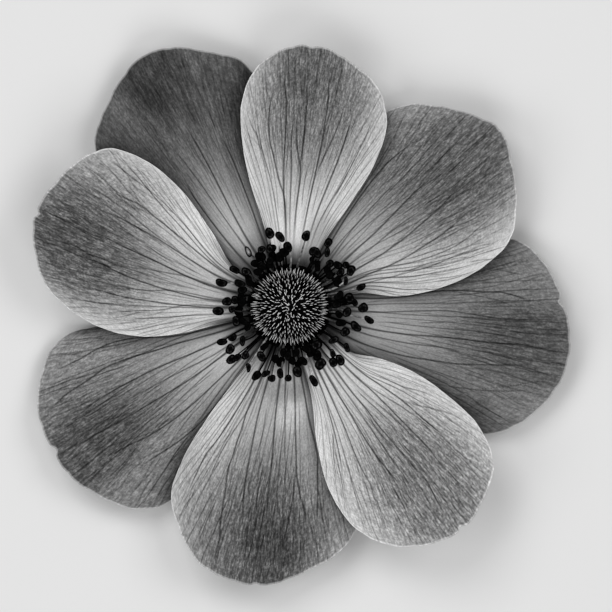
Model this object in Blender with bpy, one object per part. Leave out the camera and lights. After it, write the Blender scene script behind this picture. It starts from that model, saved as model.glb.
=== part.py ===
# A poppy anemone bloom as picked, lying face up: eight tepals, stamens, pistil and a cut stem.
# All sizes below are millimetres, measured from the flower's own axis and from the surface it lies on.

import math

import bmesh
import bpy
import numpy as np
from mathutils import Vector

MM = 0.001

# The flower's axis from the origin, which is the middle of the bloom's outline
AXIS_X = -1.83
AXIS_Y = 1.29

# Tepal blades
BLADE = 0.6
CLAW_REACH = 3.3
CLAW_HALF = 2.2
BLADE_COLUMNS = 14
BLADE_ROWS = 12
SHOULDER = 0.25
SLOPE_STEP = 0.05

# The saucer that all three layers follow: down from the receptacle to a trough, then up to the tips
LAYER_STEP = 1.1
TROUGH_REACH = 24.0
TROUGH_HEIGHT = 0.5 * BLADE
CLAW_RISE = 3.3
CLAW_EASE = 1.6
TIP_REACH = 42.0
TIP_RISE = 4.4
ROLL = 0.22
ROLL_WAVES = 5
KEEL = 0.2

# How the upper layers lift off it and how far their free sides cup upward
LIFT_FROM = 8.0
LIFT_OVER = 32.0
CUP_HALF_WIDTH = 16.0
CUP_FROM = 7.0
CUP_OVER = 12.0
WAVE_FROM = 26.0
WAVE_OVER = 14.0

# Receptacle and cut stalk
STALK_RADIUS = 2.25
STALK_FOOT = 0.4
STALK_ROUND = 0.2
KNOB_RADIUS = 3.0
KNOB_LOW = 3.2
KNOB_TOP = 7.3

# Stamens: a collar round the receptacle, filaments that lean out of it, anthers at their ends
COLLAR_IN = 3.35
COLLAR_OUT = 6.4
COLLAR_LOW = 6.4
COLLAR_TOP = 7.3
ROOT_REACH = (5.72, 6.05)
ROOT_SINK = 0.35
FILAMENT_RADIUS = 0.26
ANTHER_LENGTH = (1.75, 2.2)
ANTHER_WIDTH = 1.2
ANTHER_HIGH = 12.6
ANTHER_FALL = 0.55
ANTHER_FALL_FROM = 8.0
LOW_STAMENS = 27
LOW_REACH = (8.0, 10.4)
LOW_DROP = 2.1

# Pistil: a dome of carpels whose styles are raised from it as cones
DOME_CENTRE = 8.9
DOME_RADIUS = 4.5
DOME_HEIGHT = 4.1
DOME_LOWEST = -0.3
STYLES = 300
STYLE_AT_TOP = 0.75
STYLE_AT_RIM = 1.1

GOLDEN_ANGLE = math.pi * (3.0 - math.sqrt(5.0))

# Each margin runs from the claw out along the counter-clockwise side, round the tip and back.
# A nick is where it lies on the margin, how deep it cuts and how wide it is.
TEPALS = [
    {
        "name": "tepal_top",
        "aim": 84,
        "layer": 2,
        "lift": 3.0,
        "cups": (2.3, 2.3),
        "wave": (0.30, 3, 0.4),
        "grey": 0.42,
        "nicks": [(3.2, 39.0, 0.35, 0.6)],
        "margin": [
            (-4.1, 13.1), (-5.9, 18.7), (-7.1, 25.0), (-7.1, 31.0), (-5.2, 35.5), (-1.1, 38.5),
            (2.4, 39.2), (6.1, 38.5), (8.9, 36.8), (13.4, 32.6), (14.6, 27.8), (12.9, 21.8),
            (9.1, 15.5), (4.9, 9.1),
        ],
    },
    {
        "name": "tepal_upper_right",
        "aim": 33,
        "layer": 1,
        "lift": 1.5,
        "cups": (0.0, 1.5),
        "wave": (0.30, 3, 1.9),
        "grey": 0.30,
        "nicks": [(31.3, 27.3, 0.5, 0.5)],
        "margin": [
            (2.6, 9.2), (7.0, 18.5), (11.4, 26.4), (14.6, 29.2), (17.9, 30.4), (22.6, 30.1),
            (28.6, 28.5), (31.4, 27.1), (33.6, 21.7), (34.3, 15.2), (33.3, 10.2), (29.4, 6.2),
            (23.2, 3.0), (16.6, 1.6), (10.0, 2.0),
        ],
    },
    {
        "name": "tepal_right",
        "aim": -8,
        "layer": 0,
        "lift": 0.0,
        "cups": (0.0, 0.0),
        "wave": (0.25, 2, 0.0),
        "grey": 0.17,
        "nicks": [(40.9, 0.6, 0.7, 0.7)],
        "margin": [
            (9.6, 4.0), (20.0, 6.8), (29.0, 9.4), (34.2, 10.0), (36.8, 8.3), (39.3, 5.1),
            (40.8, 1.8), (41.9, -2.3), (42.1, -6.6), (40.8, -10.6), (37.6, -15.3), (33.7, -18.1),
            (29.8, -19.2), (24.6, -18.2), (16.0, -13.0), (7.4, -7.6),
        ],
    },
    {
        "name": "tepal_lower_right",
        "aim": -54,
        "layer": 2,
        "lift": 3.0,
        "cups": (2.1, 2.1),
        "wave": (0.30, 3, 2.6),
        "grey": 0.42,
        "nicks": [(26.0, -33.4, 0.45, 0.6)],
        "margin": [
            (9.2, -6.9), (13.4, -7.8), (18.1, -9.6), (24.1, -13.7), (28.6, -18.3), (30.6, -24.0),
            (29.1, -28.7), (26.2, -33.1), (22.0, -35.3), (15.5, -36.1), (10.1, -33.6),
            (6.2, -28.0), (4.2, -20.9), (3.2, -13.0),
        ],
    },
    {
        "name": "tepal_bottom",
        "aim": -97,
        "layer": 1,
        "lift": 1.5,
        "cups": (0.0, 1.5),
        "wave": (0.25, 3, 0.9),
        "grey": 0.30,
        "nicks": [(-5.2, -42.0, 0.3, 0.5)],
        "margin": [
            (4.9, -9.4), (6.8, -17.0), (8.9, -27.0), (9.9, -33.6), (8.1, -36.3), (3.1, -39.5),
            (-4.4, -41.9), (-9.6, -40.8), (-13.3, -38.7), (-16.5, -33.5), (-17.8, -28.6),
            (-16.1, -23.1), (-12.5, -17.0), (-6.9, -9.4),
        ],
    },
    {
        "name": "tepal_lower_left",
        "aim": -151,
        "layer": 0,
        "lift": 0.0,
        "cups": (0.0, 0.0),
        "wave": (0.25, 2, 1.2),
        "grey": 0.19,
        "nicks": [(-35.3, -21.6, 0.7, 0.7)],
        "margin": [
            (-4.9, -9.4), (-10.6, -19.4), (-15.6, -27.2), (-19.7, -30.1), (-23.6, -30.4),
            (-28.4, -28.6), (-32.9, -25.6), (-35.7, -21.6), (-37.7, -15.5), (-37.3, -10.4),
            (-35.7, -6.2), (-32.8, -3.9), (-29.2, -3.1), (-20.0, -1.2), (-10.0, 0.8),
        ],
    },
    {
        "name": "tepal_left",
        "aim": 164,
        "layer": 2,
        "lift": 3.0,
        "cups": (2.2, 2.2),
        "wave": (0.30, 3, 1.4),
        "grey": 0.42,
        "nicks": [(-38.0, 14.0, 0.7, 0.5)],
        "margin": [
            (-10.4, -2.6), (-16.4, -4.0), (-21.5, -4.5), (-27.4, -3.5), (-32.9, -0.5),
            (-36.6, 3.3), (-38.2, 8.4), (-38.2, 13.6), (-34.7, 19.0), (-31.4, 22.0),
            (-27.2, 23.7), (-22.4, 22.3), (-16.4, 17.6), (-11.9, 11.5), (-7.4, 4.9),
        ],
    },
    {
        "name": "tepal_upper_left",
        "aim": 120,
        "layer": 0,
        "lift": 0.0,
        "cups": (0.0, 0.0),
        "wave": (0.25, 2, 2.4),
        "grey": 0.19,
        "nicks": [],
        "margin": [
            (-7.0, 3.9), (-15.0, 9.6), (-23.6, 16.4), (-28.6, 21.2), (-29.3, 25.0),
            (-27.6, 30.1), (-25.3, 34.3), (-22.4, 37.5), (-18.2, 38.9), (-11.6, 38.2),
            (-7.6, 37.2), (-4.9, 34.2), (-3.4, 26.0), (-2.2, 16.0), (-0.9, 8.6),
        ],
    },
]

# Anthers in plain sight from above: degrees round the axis and distance from it
ANTHERS_SEEN = [
    (105.3, 11.4), (97.8, 10.5), (91.5, 8.9), (76.4, 10.9), (58.6, 11.2), (55.5, 9.9), (64.5, 9.3),
    (36.3, 10.5), (30.1, 10.7), (40.6, 9.6), (24.7, 9.2), (15.3, 11.1), (7.1, 9.2), (-0.8, 11.0),
    (-5.5, 8.6), (-9.3, 12.1), (-16.4, 10.4), (-24.7, 9.2), (-35.5, 10.6), (-37.3, 8.3),
    (-54.5, 7.1), (-48.8, 9.7), (-46.9, 11.0), (-51.9, 10.6), (-61.7, 9.8), (-72.1, 11.7),
    (-82.5, 9.8), (-91.2, 10.7), (-97.7, 10.1), (-104.2, 11.0), (-109.2, 10.7), (-115.6, 11.5),
    (-124.2, 11.1), (-132.5, 9.9), (-137.5, 11.7), (-144.7, 11.0), (-152.3, 11.4), (-151.8, 9.7),
    (-143.7, 8.7), (-164.8, 8.3), (-176.4, 10.7), (175.9, 9.4), (173.2, 8.2), (-177.0, 8.6),
    (160.2, 10.8), (146.4, 9.9), (127.3, 10.3), (116.0, 9.4), (154.6, 8.2),
]


def new_material(name, grey, roughness):
    material = bpy.data.materials.new(name)
    material.use_nodes = True
    shader = material.node_tree.nodes["Principled BSDF"]
    shader.inputs["Base Color"].default_value = (grey, grey, grey, 1.0)
    shader.inputs["Roughness"].default_value = roughness
    shader.inputs["Metallic"].default_value = 0.0
    material.diffuse_color = (grey, grey, grey, 1.0)
    return material


def new_object(name, points, faces, collection=None):
    """A mesh object from points in millimetres round the flower's axis."""
    placed = []
    for x, y, z in points:
        placed.append(((x + AXIS_X) * MM, (y + AXIS_Y) * MM, z * MM))
    mesh = bpy.data.meshes.new(name)
    mesh.from_pydata(placed, [], faces)
    mesh.update()
    made = bpy.data.objects.new(name, mesh)
    home = collection or bpy.context.scene.collection
    home.objects.link(made)
    return made


def finish(made, material, smooth=True):
    made.data.materials.clear()
    made.data.materials.append(material)
    for face in made.data.polygons:
        face.use_smooth = smooth


def ease(value):
    """0 below 0, 1 above 1 and a smooth step between."""
    value = np.clip(value, 0.0, 1.0)
    return value * value * (3.0 - 2.0 * value)


def along(points, shares):
    """Places on the smooth curve through the points, at shares of its length."""
    knots = np.concatenate([[0.0], np.cumsum(np.linalg.norm(np.diff(points, axis=0), axis=1))])
    slopes = np.gradient(points, knots, axis=0)
    where = shares * knots[-1]
    first = np.clip(np.searchsorted(knots, where, side="right") - 1, 0, len(knots) - 2)
    span = (knots[first + 1] - knots[first])[:, None]
    part = (where - knots[first])[:, None] / span
    start = (1 + 2 * part) * (1 - part) ** 2 * points[first]
    end = part ** 2 * (3 - 2 * part) * points[first + 1]
    leaving = part * (1 - part) ** 2 * span * slopes[first]
    arriving = part ** 2 * (part - 1) * span * slopes[first + 1]
    return start + end + leaving + arriving


def aim_of(tepal):
    angle = math.radians(tepal["aim"])
    return np.array([math.cos(angle), math.sin(angle)])


def claw_ends(tepal):
    outward = aim_of(tepal)
    sideways = np.array([-outward[1], outward[0]])
    middle = CLAW_REACH * outward
    return middle + CLAW_HALF * sideways, middle - CLAW_HALF * sideways


def margin_at(tepal, shares):
    """The tepal's margin, nicks included, from one end of the claw round to the other."""
    left, right = claw_ends(tepal)
    points = np.array([left] + tepal["margin"] + [right])
    line = along(points, shares)
    inward = 0.5 * (left + right) - line
    inward /= np.maximum(np.linalg.norm(inward, axis=1), CLAW_HALF)[:, None]
    for x, y, depth, width in tepal["nicks"]:
        away = np.hypot(line[:, 0] - x, line[:, 1] - y) / width
        line = line + inward * (depth * np.exp(-away ** 2))[:, None]
    return line


def column_shares(tepal):
    """Even columns, with three more gathered at each nick."""
    fine = np.linspace(0.0, 1.0, 801)
    tip = margin_at(tepal, SHOULDER + (1 - 2 * SHOULDER) * fine)
    shares = list(np.linspace(0.0, 1.0, BLADE_COLUMNS + 1))
    step_share = 0.5 / BLADE_COLUMNS
    for x, y, depth, width in tepal["nicks"]:
        away = np.hypot(tip[:, 0] - x, tip[:, 1] - y)
        nearest = int(np.argmin(away))
        run = np.linalg.norm(tip[1:] - tip[:-1], axis=1).mean()
        reach = width / run / (len(fine) - 1)
        middle = fine[nearest]
        shares = [share for share in shares if abs(share - middle) > reach + 0.5 * step_share]
        shares += [middle - reach, middle, middle + reach]
    return np.array(sorted(shares))


def fan(tepal, across, outward):
    """Places on the blade: columns fan out from the claw like veins, rows run across them."""
    left_end, right_end = claw_ends(tepal)
    left = margin_at(tepal, SHOULDER * outward)
    right = margin_at(tepal, 1.0 - SHOULDER * outward)
    tip = margin_at(tepal, SHOULDER + (1.0 - 2.0 * SHOULDER) * across)
    s = across[:, None, None]
    t = outward[None, :, None]
    claw = left_end + s * (right_end - left_end)
    ruled = (1 - t) * claw + t * tip[:, None, :]
    sides = (1 - s) * left[None, :, :] + s * right[None, :, :]
    claw_corners = (1 - s) * left_end + s * right_end
    tip_corners = (1 - s) * left[-1] + s * right[-1]
    return ruled + sides - (1 - t) * claw_corners - t * tip_corners


def saucer(x, y):
    """Height of the lowest layer's middle surface."""
    reach = np.hypot(x, y)
    turn = np.arctan2(y, x)
    inner = np.clip((TROUGH_REACH - reach) / (TROUGH_REACH - CLAW_REACH), 0.0, None)
    outer = np.clip((reach - TROUGH_REACH) / (TIP_REACH - TROUGH_REACH), 0.0, None)
    rise = TIP_RISE * (1.0 + ROLL * np.sin(ROLL_WAVES * turn))
    return TROUGH_HEIGHT + CLAW_RISE * inner ** CLAW_EASE + rise * outer ** 2


def blade_height(tepal, x, y):
    """Height of a tepal's middle surface over a place in plan."""
    outward = aim_of(tepal)
    sideways = (y * outward[0] - x * outward[1]) / CUP_HALF_WIDTH
    reach = np.hypot(x, y)
    left_cup, right_cup = tepal["cups"]
    cup = np.where(sideways > 0.0, left_cup, right_cup)
    cupping = cup * sideways ** 2 * ease((reach - CUP_FROM) / CUP_OVER)
    lifting = tepal["lift"] * np.clip((reach - LIFT_FROM) / LIFT_OVER, 0.0, None) ** 1.5
    size, count, start = tepal["wave"]
    waving = size * ease((reach - WAVE_FROM) / WAVE_OVER) * np.sin(count * math.pi * sideways + start)
    keel = KEEL * sideways ** 2 if tepal["layer"] == 0 else 0.0
    return saucer(x, y) + LAYER_STEP * tepal["layer"] + lifting + cupping + waving + keel


def blade_faces(columns, rows):
    """Triangles of both faces, split alike, and of the rim between them."""
    def spot(column, row, side):
        return (column * rows + row) * 2 + side

    faces = []
    for column in range(columns - 1):
        for row in range(rows - 1):
            corners = [(column, row), (column + 1, row), (column + 1, row + 1), (column, row + 1)]
            upper = [spot(c, r, 0) for c, r in corners]
            lower = [spot(c, r, 1) for c, r in corners]
            faces += [(upper[0], upper[1], upper[2]), (upper[0], upper[2], upper[3])]
            faces += [(lower[2], lower[1], lower[0]), (lower[3], lower[2], lower[0])]
    edge = [(column, 0) for column in range(columns - 1)]
    edge += [(columns - 1, row) for row in range(rows - 1)]
    edge += [(column, rows - 1) for column in range(columns - 1, 0, -1)]
    edge += [(0, row) for row in range(rows - 1, 0, -1)]
    for here, there in zip(edge, edge[1:] + edge[:1]):
        a, b = spot(*here, 0), spot(*there, 0)
        c, d = spot(*there, 1), spot(*here, 1)
        faces += [(a, d, c), (a, c, b)]
    return faces


def make_tepal(tepal):
    across = column_shares(tepal)
    outward = np.linspace(0.0, 1.0, BLADE_ROWS + 1)
    plan = fan(tepal, across, outward)
    x, y = plan[..., 0], plan[..., 1]
    height = blade_height(tepal, x, y)
    slope_x = blade_height(tepal, x + SLOPE_STEP, y) - blade_height(tepal, x - SLOPE_STEP, y)
    slope_y = blade_height(tepal, x, y + SLOPE_STEP) - blade_height(tepal, x, y - SLOPE_STEP)
    facing = np.stack([-slope_x, -slope_y, np.full_like(x, 2.0 * SLOPE_STEP)], axis=-1)
    facing /= np.linalg.norm(facing, axis=-1)[..., None]
    middle = np.stack([x, y, height], axis=-1)
    both = np.stack([middle + 0.5 * BLADE * facing, middle - 0.5 * BLADE * facing], axis=2)
    columns, rows = x.shape
    made = new_object(tepal["name"], both.reshape(-1, 3), blade_faces(columns, rows))
    finish(made, new_material(tepal["name"], tepal["grey"], 0.55))


def turned(name, profile, sides, collection=None):
    """A closed body of revolution from (radius, height) pairs that run upward on its outside."""
    points = []
    faces = []
    for index in range(sides):
        turn = 2 * math.pi * index / sides
        for radius, height in profile:
            points.append((radius * math.cos(turn), radius * math.sin(turn), height))
    count = len(profile)
    for index in range(sides):
        after = (index + 1) % sides
        for low in range(count - 1):
            faces.append((index * count + low, after * count + low,
                          after * count + low + 1, index * count + low + 1))
    faces.append([index * count for index in reversed(range(sides))])
    faces.append([index * count + count - 1 for index in range(sides)])
    return new_object(name, points, faces, collection)


def ring(name, profile, sides):
    """A ring from a closed (radius, height) section that runs counter-clockwise."""
    points = []
    faces = []
    count = len(profile)
    for index in range(sides):
        turn = 2 * math.pi * index / sides
        for radius, height in profile:
            points.append((radius * math.cos(turn), radius * math.sin(turn), height))
    for index in range(sides):
        after = (index + 1) % sides
        for low in range(count):
            high = (low + 1) % count
            faces.append((index * count + low, after * count + low,
                          after * count + high, index * count + high))
    return new_object(name, points, faces)


def swept(name, path, radii, sides, collection):
    """A tube along a path, with a radius at each of its points."""
    points = []
    faces = []
    for index, place in enumerate(path):
        before = path[max(index - 1, 0)]
        after = path[min(index + 1, len(path) - 1)]
        heading = (after - before).normalized()
        side = heading.cross(Vector((0.0, 0.0, 1.0)))
        if side.length < 0.01:
            side = Vector((1.0, 0.0, 0.0))
        side.normalize()
        up = side.cross(heading)
        for corner in range(sides):
            turn = 2 * math.pi * corner / sides
            points.append(place + radii[index] * (math.cos(turn) * side + math.sin(turn) * up))
    for index in range(len(path) - 1):
        for corner in range(sides):
            after = (corner + 1) % sides
            low, high = index * sides, (index + 1) * sides
            faces.append((low + corner, high + corner, high + after, low + after))
    faces.append(list(range(sides)))
    faces.append([(len(path) - 1) * sides + corner for corner in reversed(range(sides))])
    return new_object(name, points, faces, collection)


def stamen_places():
    """Root, anther centre and anther heading of every stamen."""
    draw = np.random.default_rng(7)
    heads = [(angle, reach, 0.0) for angle, reach in ANTHERS_SEEN]
    for index in range(LOW_STAMENS):
        angle = 360.0 * (index + 0.35 * draw.uniform(-1, 1)) / LOW_STAMENS
        heads.append((angle, draw.uniform(*LOW_REACH), LOW_DROP))
    places = []
    for angle, reach, drop in heads:
        turn = math.radians(angle)
        outward = Vector((math.cos(turn), math.sin(turn), 0.0))
        sideways = Vector((-math.sin(turn), math.cos(turn), 0.0))
        root = outward * draw.uniform(*ROOT_REACH) + sideways * draw.uniform(-0.2, 0.2)
        root.z = COLLAR_TOP - ROOT_SINK
        head = outward * reach
        head.z = ANTHER_HIGH - ANTHER_FALL * (reach - ANTHER_FALL_FROM) - drop + draw.uniform(-0.3, 0.3)
        heading = outward + sideways * draw.uniform(-1.1, 1.1)
        heading.z = draw.uniform(0.1, 0.7)
        places.append((root, head, heading.normalized(), draw.uniform(*ANTHER_LENGTH)))
    return places


def make_stamens():
    pieces = bpy.data.collections.new("stamen_pieces")
    bpy.context.scene.collection.children.link(pieces)
    bottom, top = COLLAR_LOW, COLLAR_TOP
    section = [(COLLAR_IN, bottom), (COLLAR_OUT - 0.3, bottom), (COLLAR_OUT, bottom + 0.4),
               (COLLAR_OUT - 0.3, top), (COLLAR_IN, top)]
    collar = ring("stamens", section, 36)
    for root, head, heading, length in stamen_places():
        bend = root.lerp(head, 0.5)
        bend.z += 0.16 * (head.z - root.z)
        swept("filament", [root, bend, head], [FILAMENT_RADIUS] * 3, 5, pieces)
        stations = [-0.5, -0.3, 0.05, 0.36, 0.5]
        widths = [0.12, 0.42, 0.5, 0.36, 0.10]
        path = [head + heading * length * station for station in stations]
        swept("anther", path, [ANTHER_WIDTH * width for width in widths], 6, pieces)
    joined = collar.modifiers.new("join", "BOOLEAN")
    joined.operation = "UNION"
    joined.operand_type = "COLLECTION"
    joined.collection = pieces
    joined.solver = "MANIFOLD"
    bpy.context.view_layer.objects.active = collar
    bpy.ops.object.modifier_apply(modifier="join")
    for piece in list(pieces.objects):
        bpy.data.objects.remove(piece)
    bpy.data.collections.remove(pieces)
    finish(collar, new_material("stamens", 0.015, 0.35))


def make_pistil():
    """The dome: each style is a cone whose foot is the ring of low places round it."""
    shape = bmesh.new()
    for index in range(STYLES):
        up = 1.0 - (1.0 - DOME_LOWEST) * (index + 0.5) / STYLES
        flat = math.sqrt(1.0 - up * up)
        turn = GOLDEN_ANGLE * index
        shape.verts.new((flat * math.cos(turn), flat * math.sin(turn), up))
    bmesh.ops.convex_hull(shape, input=shape.verts)
    shape.verts.index_update()
    shape.faces.index_update()
    floor = min(vertex.co.z for vertex in shape.verts)

    def on_dome(direction, raised):
        flat = Vector((direction.x, direction.y, 0.0)) * (DOME_RADIUS + raised)
        return (flat.x, flat.y, DOME_CENTRE + direction.z * (DOME_HEIGHT + raised))

    points = []
    for vertex in shape.verts:
        at_rim = 1.0 - max(vertex.co.z, 0.0)
        raised = STYLE_AT_TOP + (STYLE_AT_RIM - STYLE_AT_TOP) * at_rim
        raised *= float(ease((vertex.co.z - floor) / 0.25))
        points.append(on_dome(vertex.co, raised))
    low_of = {}
    for face in shape.faces:
        middle = face.calc_center_median()
        if middle.z > floor + 0.02 and face.normal.z > -0.9:
            low_of[face.index] = len(points)
            points.append(on_dome(middle.normalized(), 0.0))
    faces = []
    for edge in shape.edges:
        first, second = edge.link_faces
        one, other = low_of.get(first.index), low_of.get(second.index)
        # The edge's own direction, as the first of its two faces runs along it
        for loop in edge.link_loops:
            if loop.face == first:
                start, end = loop.vert.index, loop.link_loop_next.vert.index
        if one is not None and other is not None:
            faces += [(start, other, one), (end, one, other)]
        elif one is not None:
            faces.append((start, end, one))
        elif other is not None:
            faces.append((end, start, other))
    for face in shape.faces:
        if face.index not in low_of:
            faces.append([vertex.index for vertex in face.verts])
    shape.free()
    finish(new_object("pistil", points, faces), new_material("pistil", 0.30, 0.5), smooth=False)


def make_stem():
    profile = [
        (STALK_RADIUS - STALK_ROUND, STALK_FOOT),
        (STALK_RADIUS, STALK_FOOT + STALK_ROUND),
        (STALK_RADIUS, KNOB_LOW - 1.4),
        (KNOB_RADIUS - 0.45, KNOB_LOW - 0.6),
        (KNOB_RADIUS, KNOB_LOW),
        (KNOB_RADIUS, KNOB_TOP - 0.4),
        (KNOB_RADIUS - 0.5, KNOB_TOP),
    ]
    finish(turned("stem", profile, 28), new_material("stem", 0.22, 0.6))


def main():
    for old in list(bpy.data.objects):
        bpy.data.objects.remove(old)
    for tepal in TEPALS:
        make_tepal(tepal)
    make_stamens()
    make_pistil()
    make_stem()


main()
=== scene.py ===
# The look of the poppy anemone: fine veined tepals, stamens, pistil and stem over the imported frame.
# Sizes are millimetres from the flower's axis. A place on a tepal is (across, outward): across runs
# from 0 on its counter-clockwise side to 1 on the other, outward from 0 at the claw to 1 at the tip.

import math

import bpy
import numpy as np
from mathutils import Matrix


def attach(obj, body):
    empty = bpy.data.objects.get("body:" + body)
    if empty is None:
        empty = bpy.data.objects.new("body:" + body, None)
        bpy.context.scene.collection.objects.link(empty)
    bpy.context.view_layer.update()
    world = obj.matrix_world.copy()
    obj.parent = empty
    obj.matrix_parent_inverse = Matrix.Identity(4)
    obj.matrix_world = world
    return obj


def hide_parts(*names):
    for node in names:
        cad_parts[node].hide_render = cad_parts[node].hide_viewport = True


MM = 0.001
AXIS_X = -1.83
AXIS_Y = 1.29
TEPAL_SEED = 100
STAMEN_SEED = 7
PISTIL_SEED = 11

# Camera: straight down, with the photo's frame at the height of the tepals
VIEW_WIDTH = 91.8
VIEW_MIDDLE = (0.645, 1.365)
VIEW_PLANE = 9.0
CAMERA_ABOVE = 1500.0
SENSOR = 36.0
CLIP = (0.1, 100.0)

# Softboxes as name, turn, degrees up and power; their distance and size in metres; the world's light
SOFTBOXES = [("softbox_key", 125.0, 52.0, 3.3), ("softbox_right", 20.0, 48.0, 2.6),
             ("softbox_low", -80.0, 48.0, 2.6), ("softbox_left", -160.0, 45.0, 2.1)]
SOFTBOX_AWAY = 1.0
SOFTBOX_SIZE = 0.55
WORLD_LIGHT = 0.26
GROUND_HALF = 8000.0
GROUND_GREY = 0.78

# Blade shape, the same as the solids'
CLAW_REACH = 3.3
CLAW_HALF = 2.2
SHOULDER = 0.25
SLOPE_STEP = 0.05
LAYER_STEP = 1.1
TROUGH_REACH = 24.0
TROUGH_HEIGHT = 0.3
CLAW_RISE = 3.3
CLAW_EASE = 1.6
TIP_REACH = 42.0
TIP_RISE = 4.4
ROLL = 0.22
ROLL_WAVES = 5
KEEL = 0.2
LAYER_LIFT = (0.0, 1.5, 3.0)
LIFT_FROM = 8.0
LIFT_OVER = 32.0
LIFT_CURVE = 1.5
CUP_HALF_WIDTH = 16.0
CUP_FROM = 7.0
CUP_OVER = 12.0
WAVE_FROM = 26.0
WAVE_OVER = 14.0

# Finer blade form: steps of the mesh, which lie closer towards the tip, half thickness in the middle
# and at the margin, rim, pleats, crinkles, vein relief and a ragged margin
COLUMNS = 340
ROWS = 108
ROWS_CROWD = 0.3
SHARE_STEP = 0.002
HALF_THICK = 0.21
HALF_THIN = 0.10
THIN_EDGE = 3.0
RIM_OUT = 0.03
PLEAT = 0.05
PLEAT_PITCH = 2.1
PLEAT_SWAY = 3
PLEAT_BENDS = 5
CRINKLE = 0.10
CRINKLE_FROM = 0.2
CRINKLE_OVER = 0.3
VEIN_SINK = 0.045
SINK_UNDER = 0.6
MARGIN_RAGGED = 0.05
RAGGED_WAVES = (151, 277, 37)
RAGGED_SHORT = 0.7
RAGGED_FROM = 0.1

# What one unit across and one outward count for, in mm, where grain and pleats follow the veins
FLOW_WIDE = 27.0
FLOW_DEEP = 36.0

# The bake layout of a blade: its upper side on the left, its lower one on the right, and strips for
# the upper and the lower band of the rim. The other layouts have cells with a free edge
LAYOUT_EDGE = 0.005
LAYOUT_HALF = 0.485
LAYOUT_RIGHT = 0.51
LAYOUT_LOW = 0.02
LAYOUT_TALL = 0.96
UPPER_BAND = (0.995, 0.986)
LOWER_BAND = (0.014, 0.005)
CELL_EDGE = 0.05

# Painted shadow bands on a blade beside one that lies over it: how dark, how dark near the claw, how wide;
# where near the claw ends; and places along the upper blade's margin that the distance is taken from
OVERLAP_SHADOW_BANDS = [(0.45, 0.90, 0.6), (0.28, 0.28, 2.2)]
CLAW_SHADOW_END = 11.5
CLAW_SHADOW_OVER = 4.0
BAND_CURVE = 1.5
OVERLAP_LINE = (0.05, 0.95, 300)
FAR = 100.0
BATCHES = 40

# Painted shade of the stamens darkens the blades from this reach, up to each one's own
SHADE_FROM = 6.4
SHADE_LEFT = 0.08

# Near the claw the sides of a blade are darkened as painted shade: share across, and for each layer how
# dark and from how far out it fades
CLAW_EDGE = 0.14
CLAW_EDGE_SHADOW = (0.70, 0.82, 0.96)
CLAW_EDGE_START = (0.13, 0.15, 0.21)
CLAW_EDGE_OVER = 0.30

# Veins: half width and darkness for each strength, how they widen and fade towards the claw, how
# softly they start and end, and how much the outer ones bend outward
VEIN_HALF = {1: 0.135, 2: 0.17, 3: 0.205}
VEIN_DARK = {1: 0.60, 2: 0.78, 3: 0.92}
MAIN_START = 0.42
MAIN_FOOT = 0.04
BASE_WIDER = 1.8
BASE_END = 0.32
FOOT_START = 0.12
FOOT_OVER = 0.24
FADE_IN = 0.06
FADE_PAST = 0.03
FADE_OUT = 0.12
SPREAD = 0.84
SPREAD_CURVE = 1.5
SPREAD_ROUNDS = 5

# Thin veins that follow a rule: how many, play of the place across, where they start and end (short
# ones: how long they are), number of places, how far they stray at each, how dark, half width
THIN_VEINS = [
    {"count": 30, "play": (0.15, 0.85), "start": (0.12, 0.4), "end": (0.8, 1.05), "places": 6,
     "stray": 0.007, "dark": (0.22, 0.66), "half": 0.14},
    {"count": 34, "play": (0.1, 0.9), "start": (0.35, 0.7), "run": (0.15, 0.35), "places": 4,
     "stray": 0.009, "dark": (0.25, 0.60), "half": 0.135},
    {"count": 36, "play": (0.25, 0.75), "start": (0.55, 0.8), "end": (0.96, 1.08), "places": 4,
     "stray": 0.010, "dark": (0.35, 0.68), "half": 0.15},
]
SHORT_END = 0.99
SIDE_VEINS = {"count": 8, "play": (-0.2, 0.2), "start": (0.12, 0.3), "end": (0.92, 1.08), "places": 6,
              "stray": 0.003, "dark": (0.40, 0.70), "half": 0.145}
SIDE_FIRST = 0.475
SIDE_PITCH = 0.032

# Thin branches of the set veins: where they leave, how long they run, how far aside, number of
# places, how they bend back, how dark, half width
BRANCH_START = (0.35, 0.8)
BRANCH_RUN = (0.12, 0.3)
BRANCH_ASIDE = (0.10, 0.22)
BRANCH_PLACES = 5
BRANCH_BEND = 1.2
BRANCH_DARK = (0.35, 0.62)
BRANCH_HALF = 0.13

# A crisp noise is stretched from this range to 0 to 1
CRISP = (0.36, 0.64)

# Blade material: how strongly each noise changes the lightness, how patches tear along the grain, and
# the painted highlight along the rim, which starts at this share outward
FIBRE_GAIN = 0.12
STREAK_GAIN = 0.10
CLOUD_GAIN = 0.16
CRUMB_GAIN = 0.26
GRAIN_GAIN = 0.2
GRAIN_LOW = 0.6
GRAIN_FROM = 0.3
GRAIN_OVER = 0.4
THREAD_SHARE = 0.65
TORN_BASE = 0.75
TORN_NOISE = 0.30
TORN_GRAIN = 1.1
VEIN_FULL = 0.96
VEIN_GRAIN = 0.22
RIM_HIGHLIGHT = 0.28
RIM_FROM = 0.15
RIM_OVER = 0.2

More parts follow.
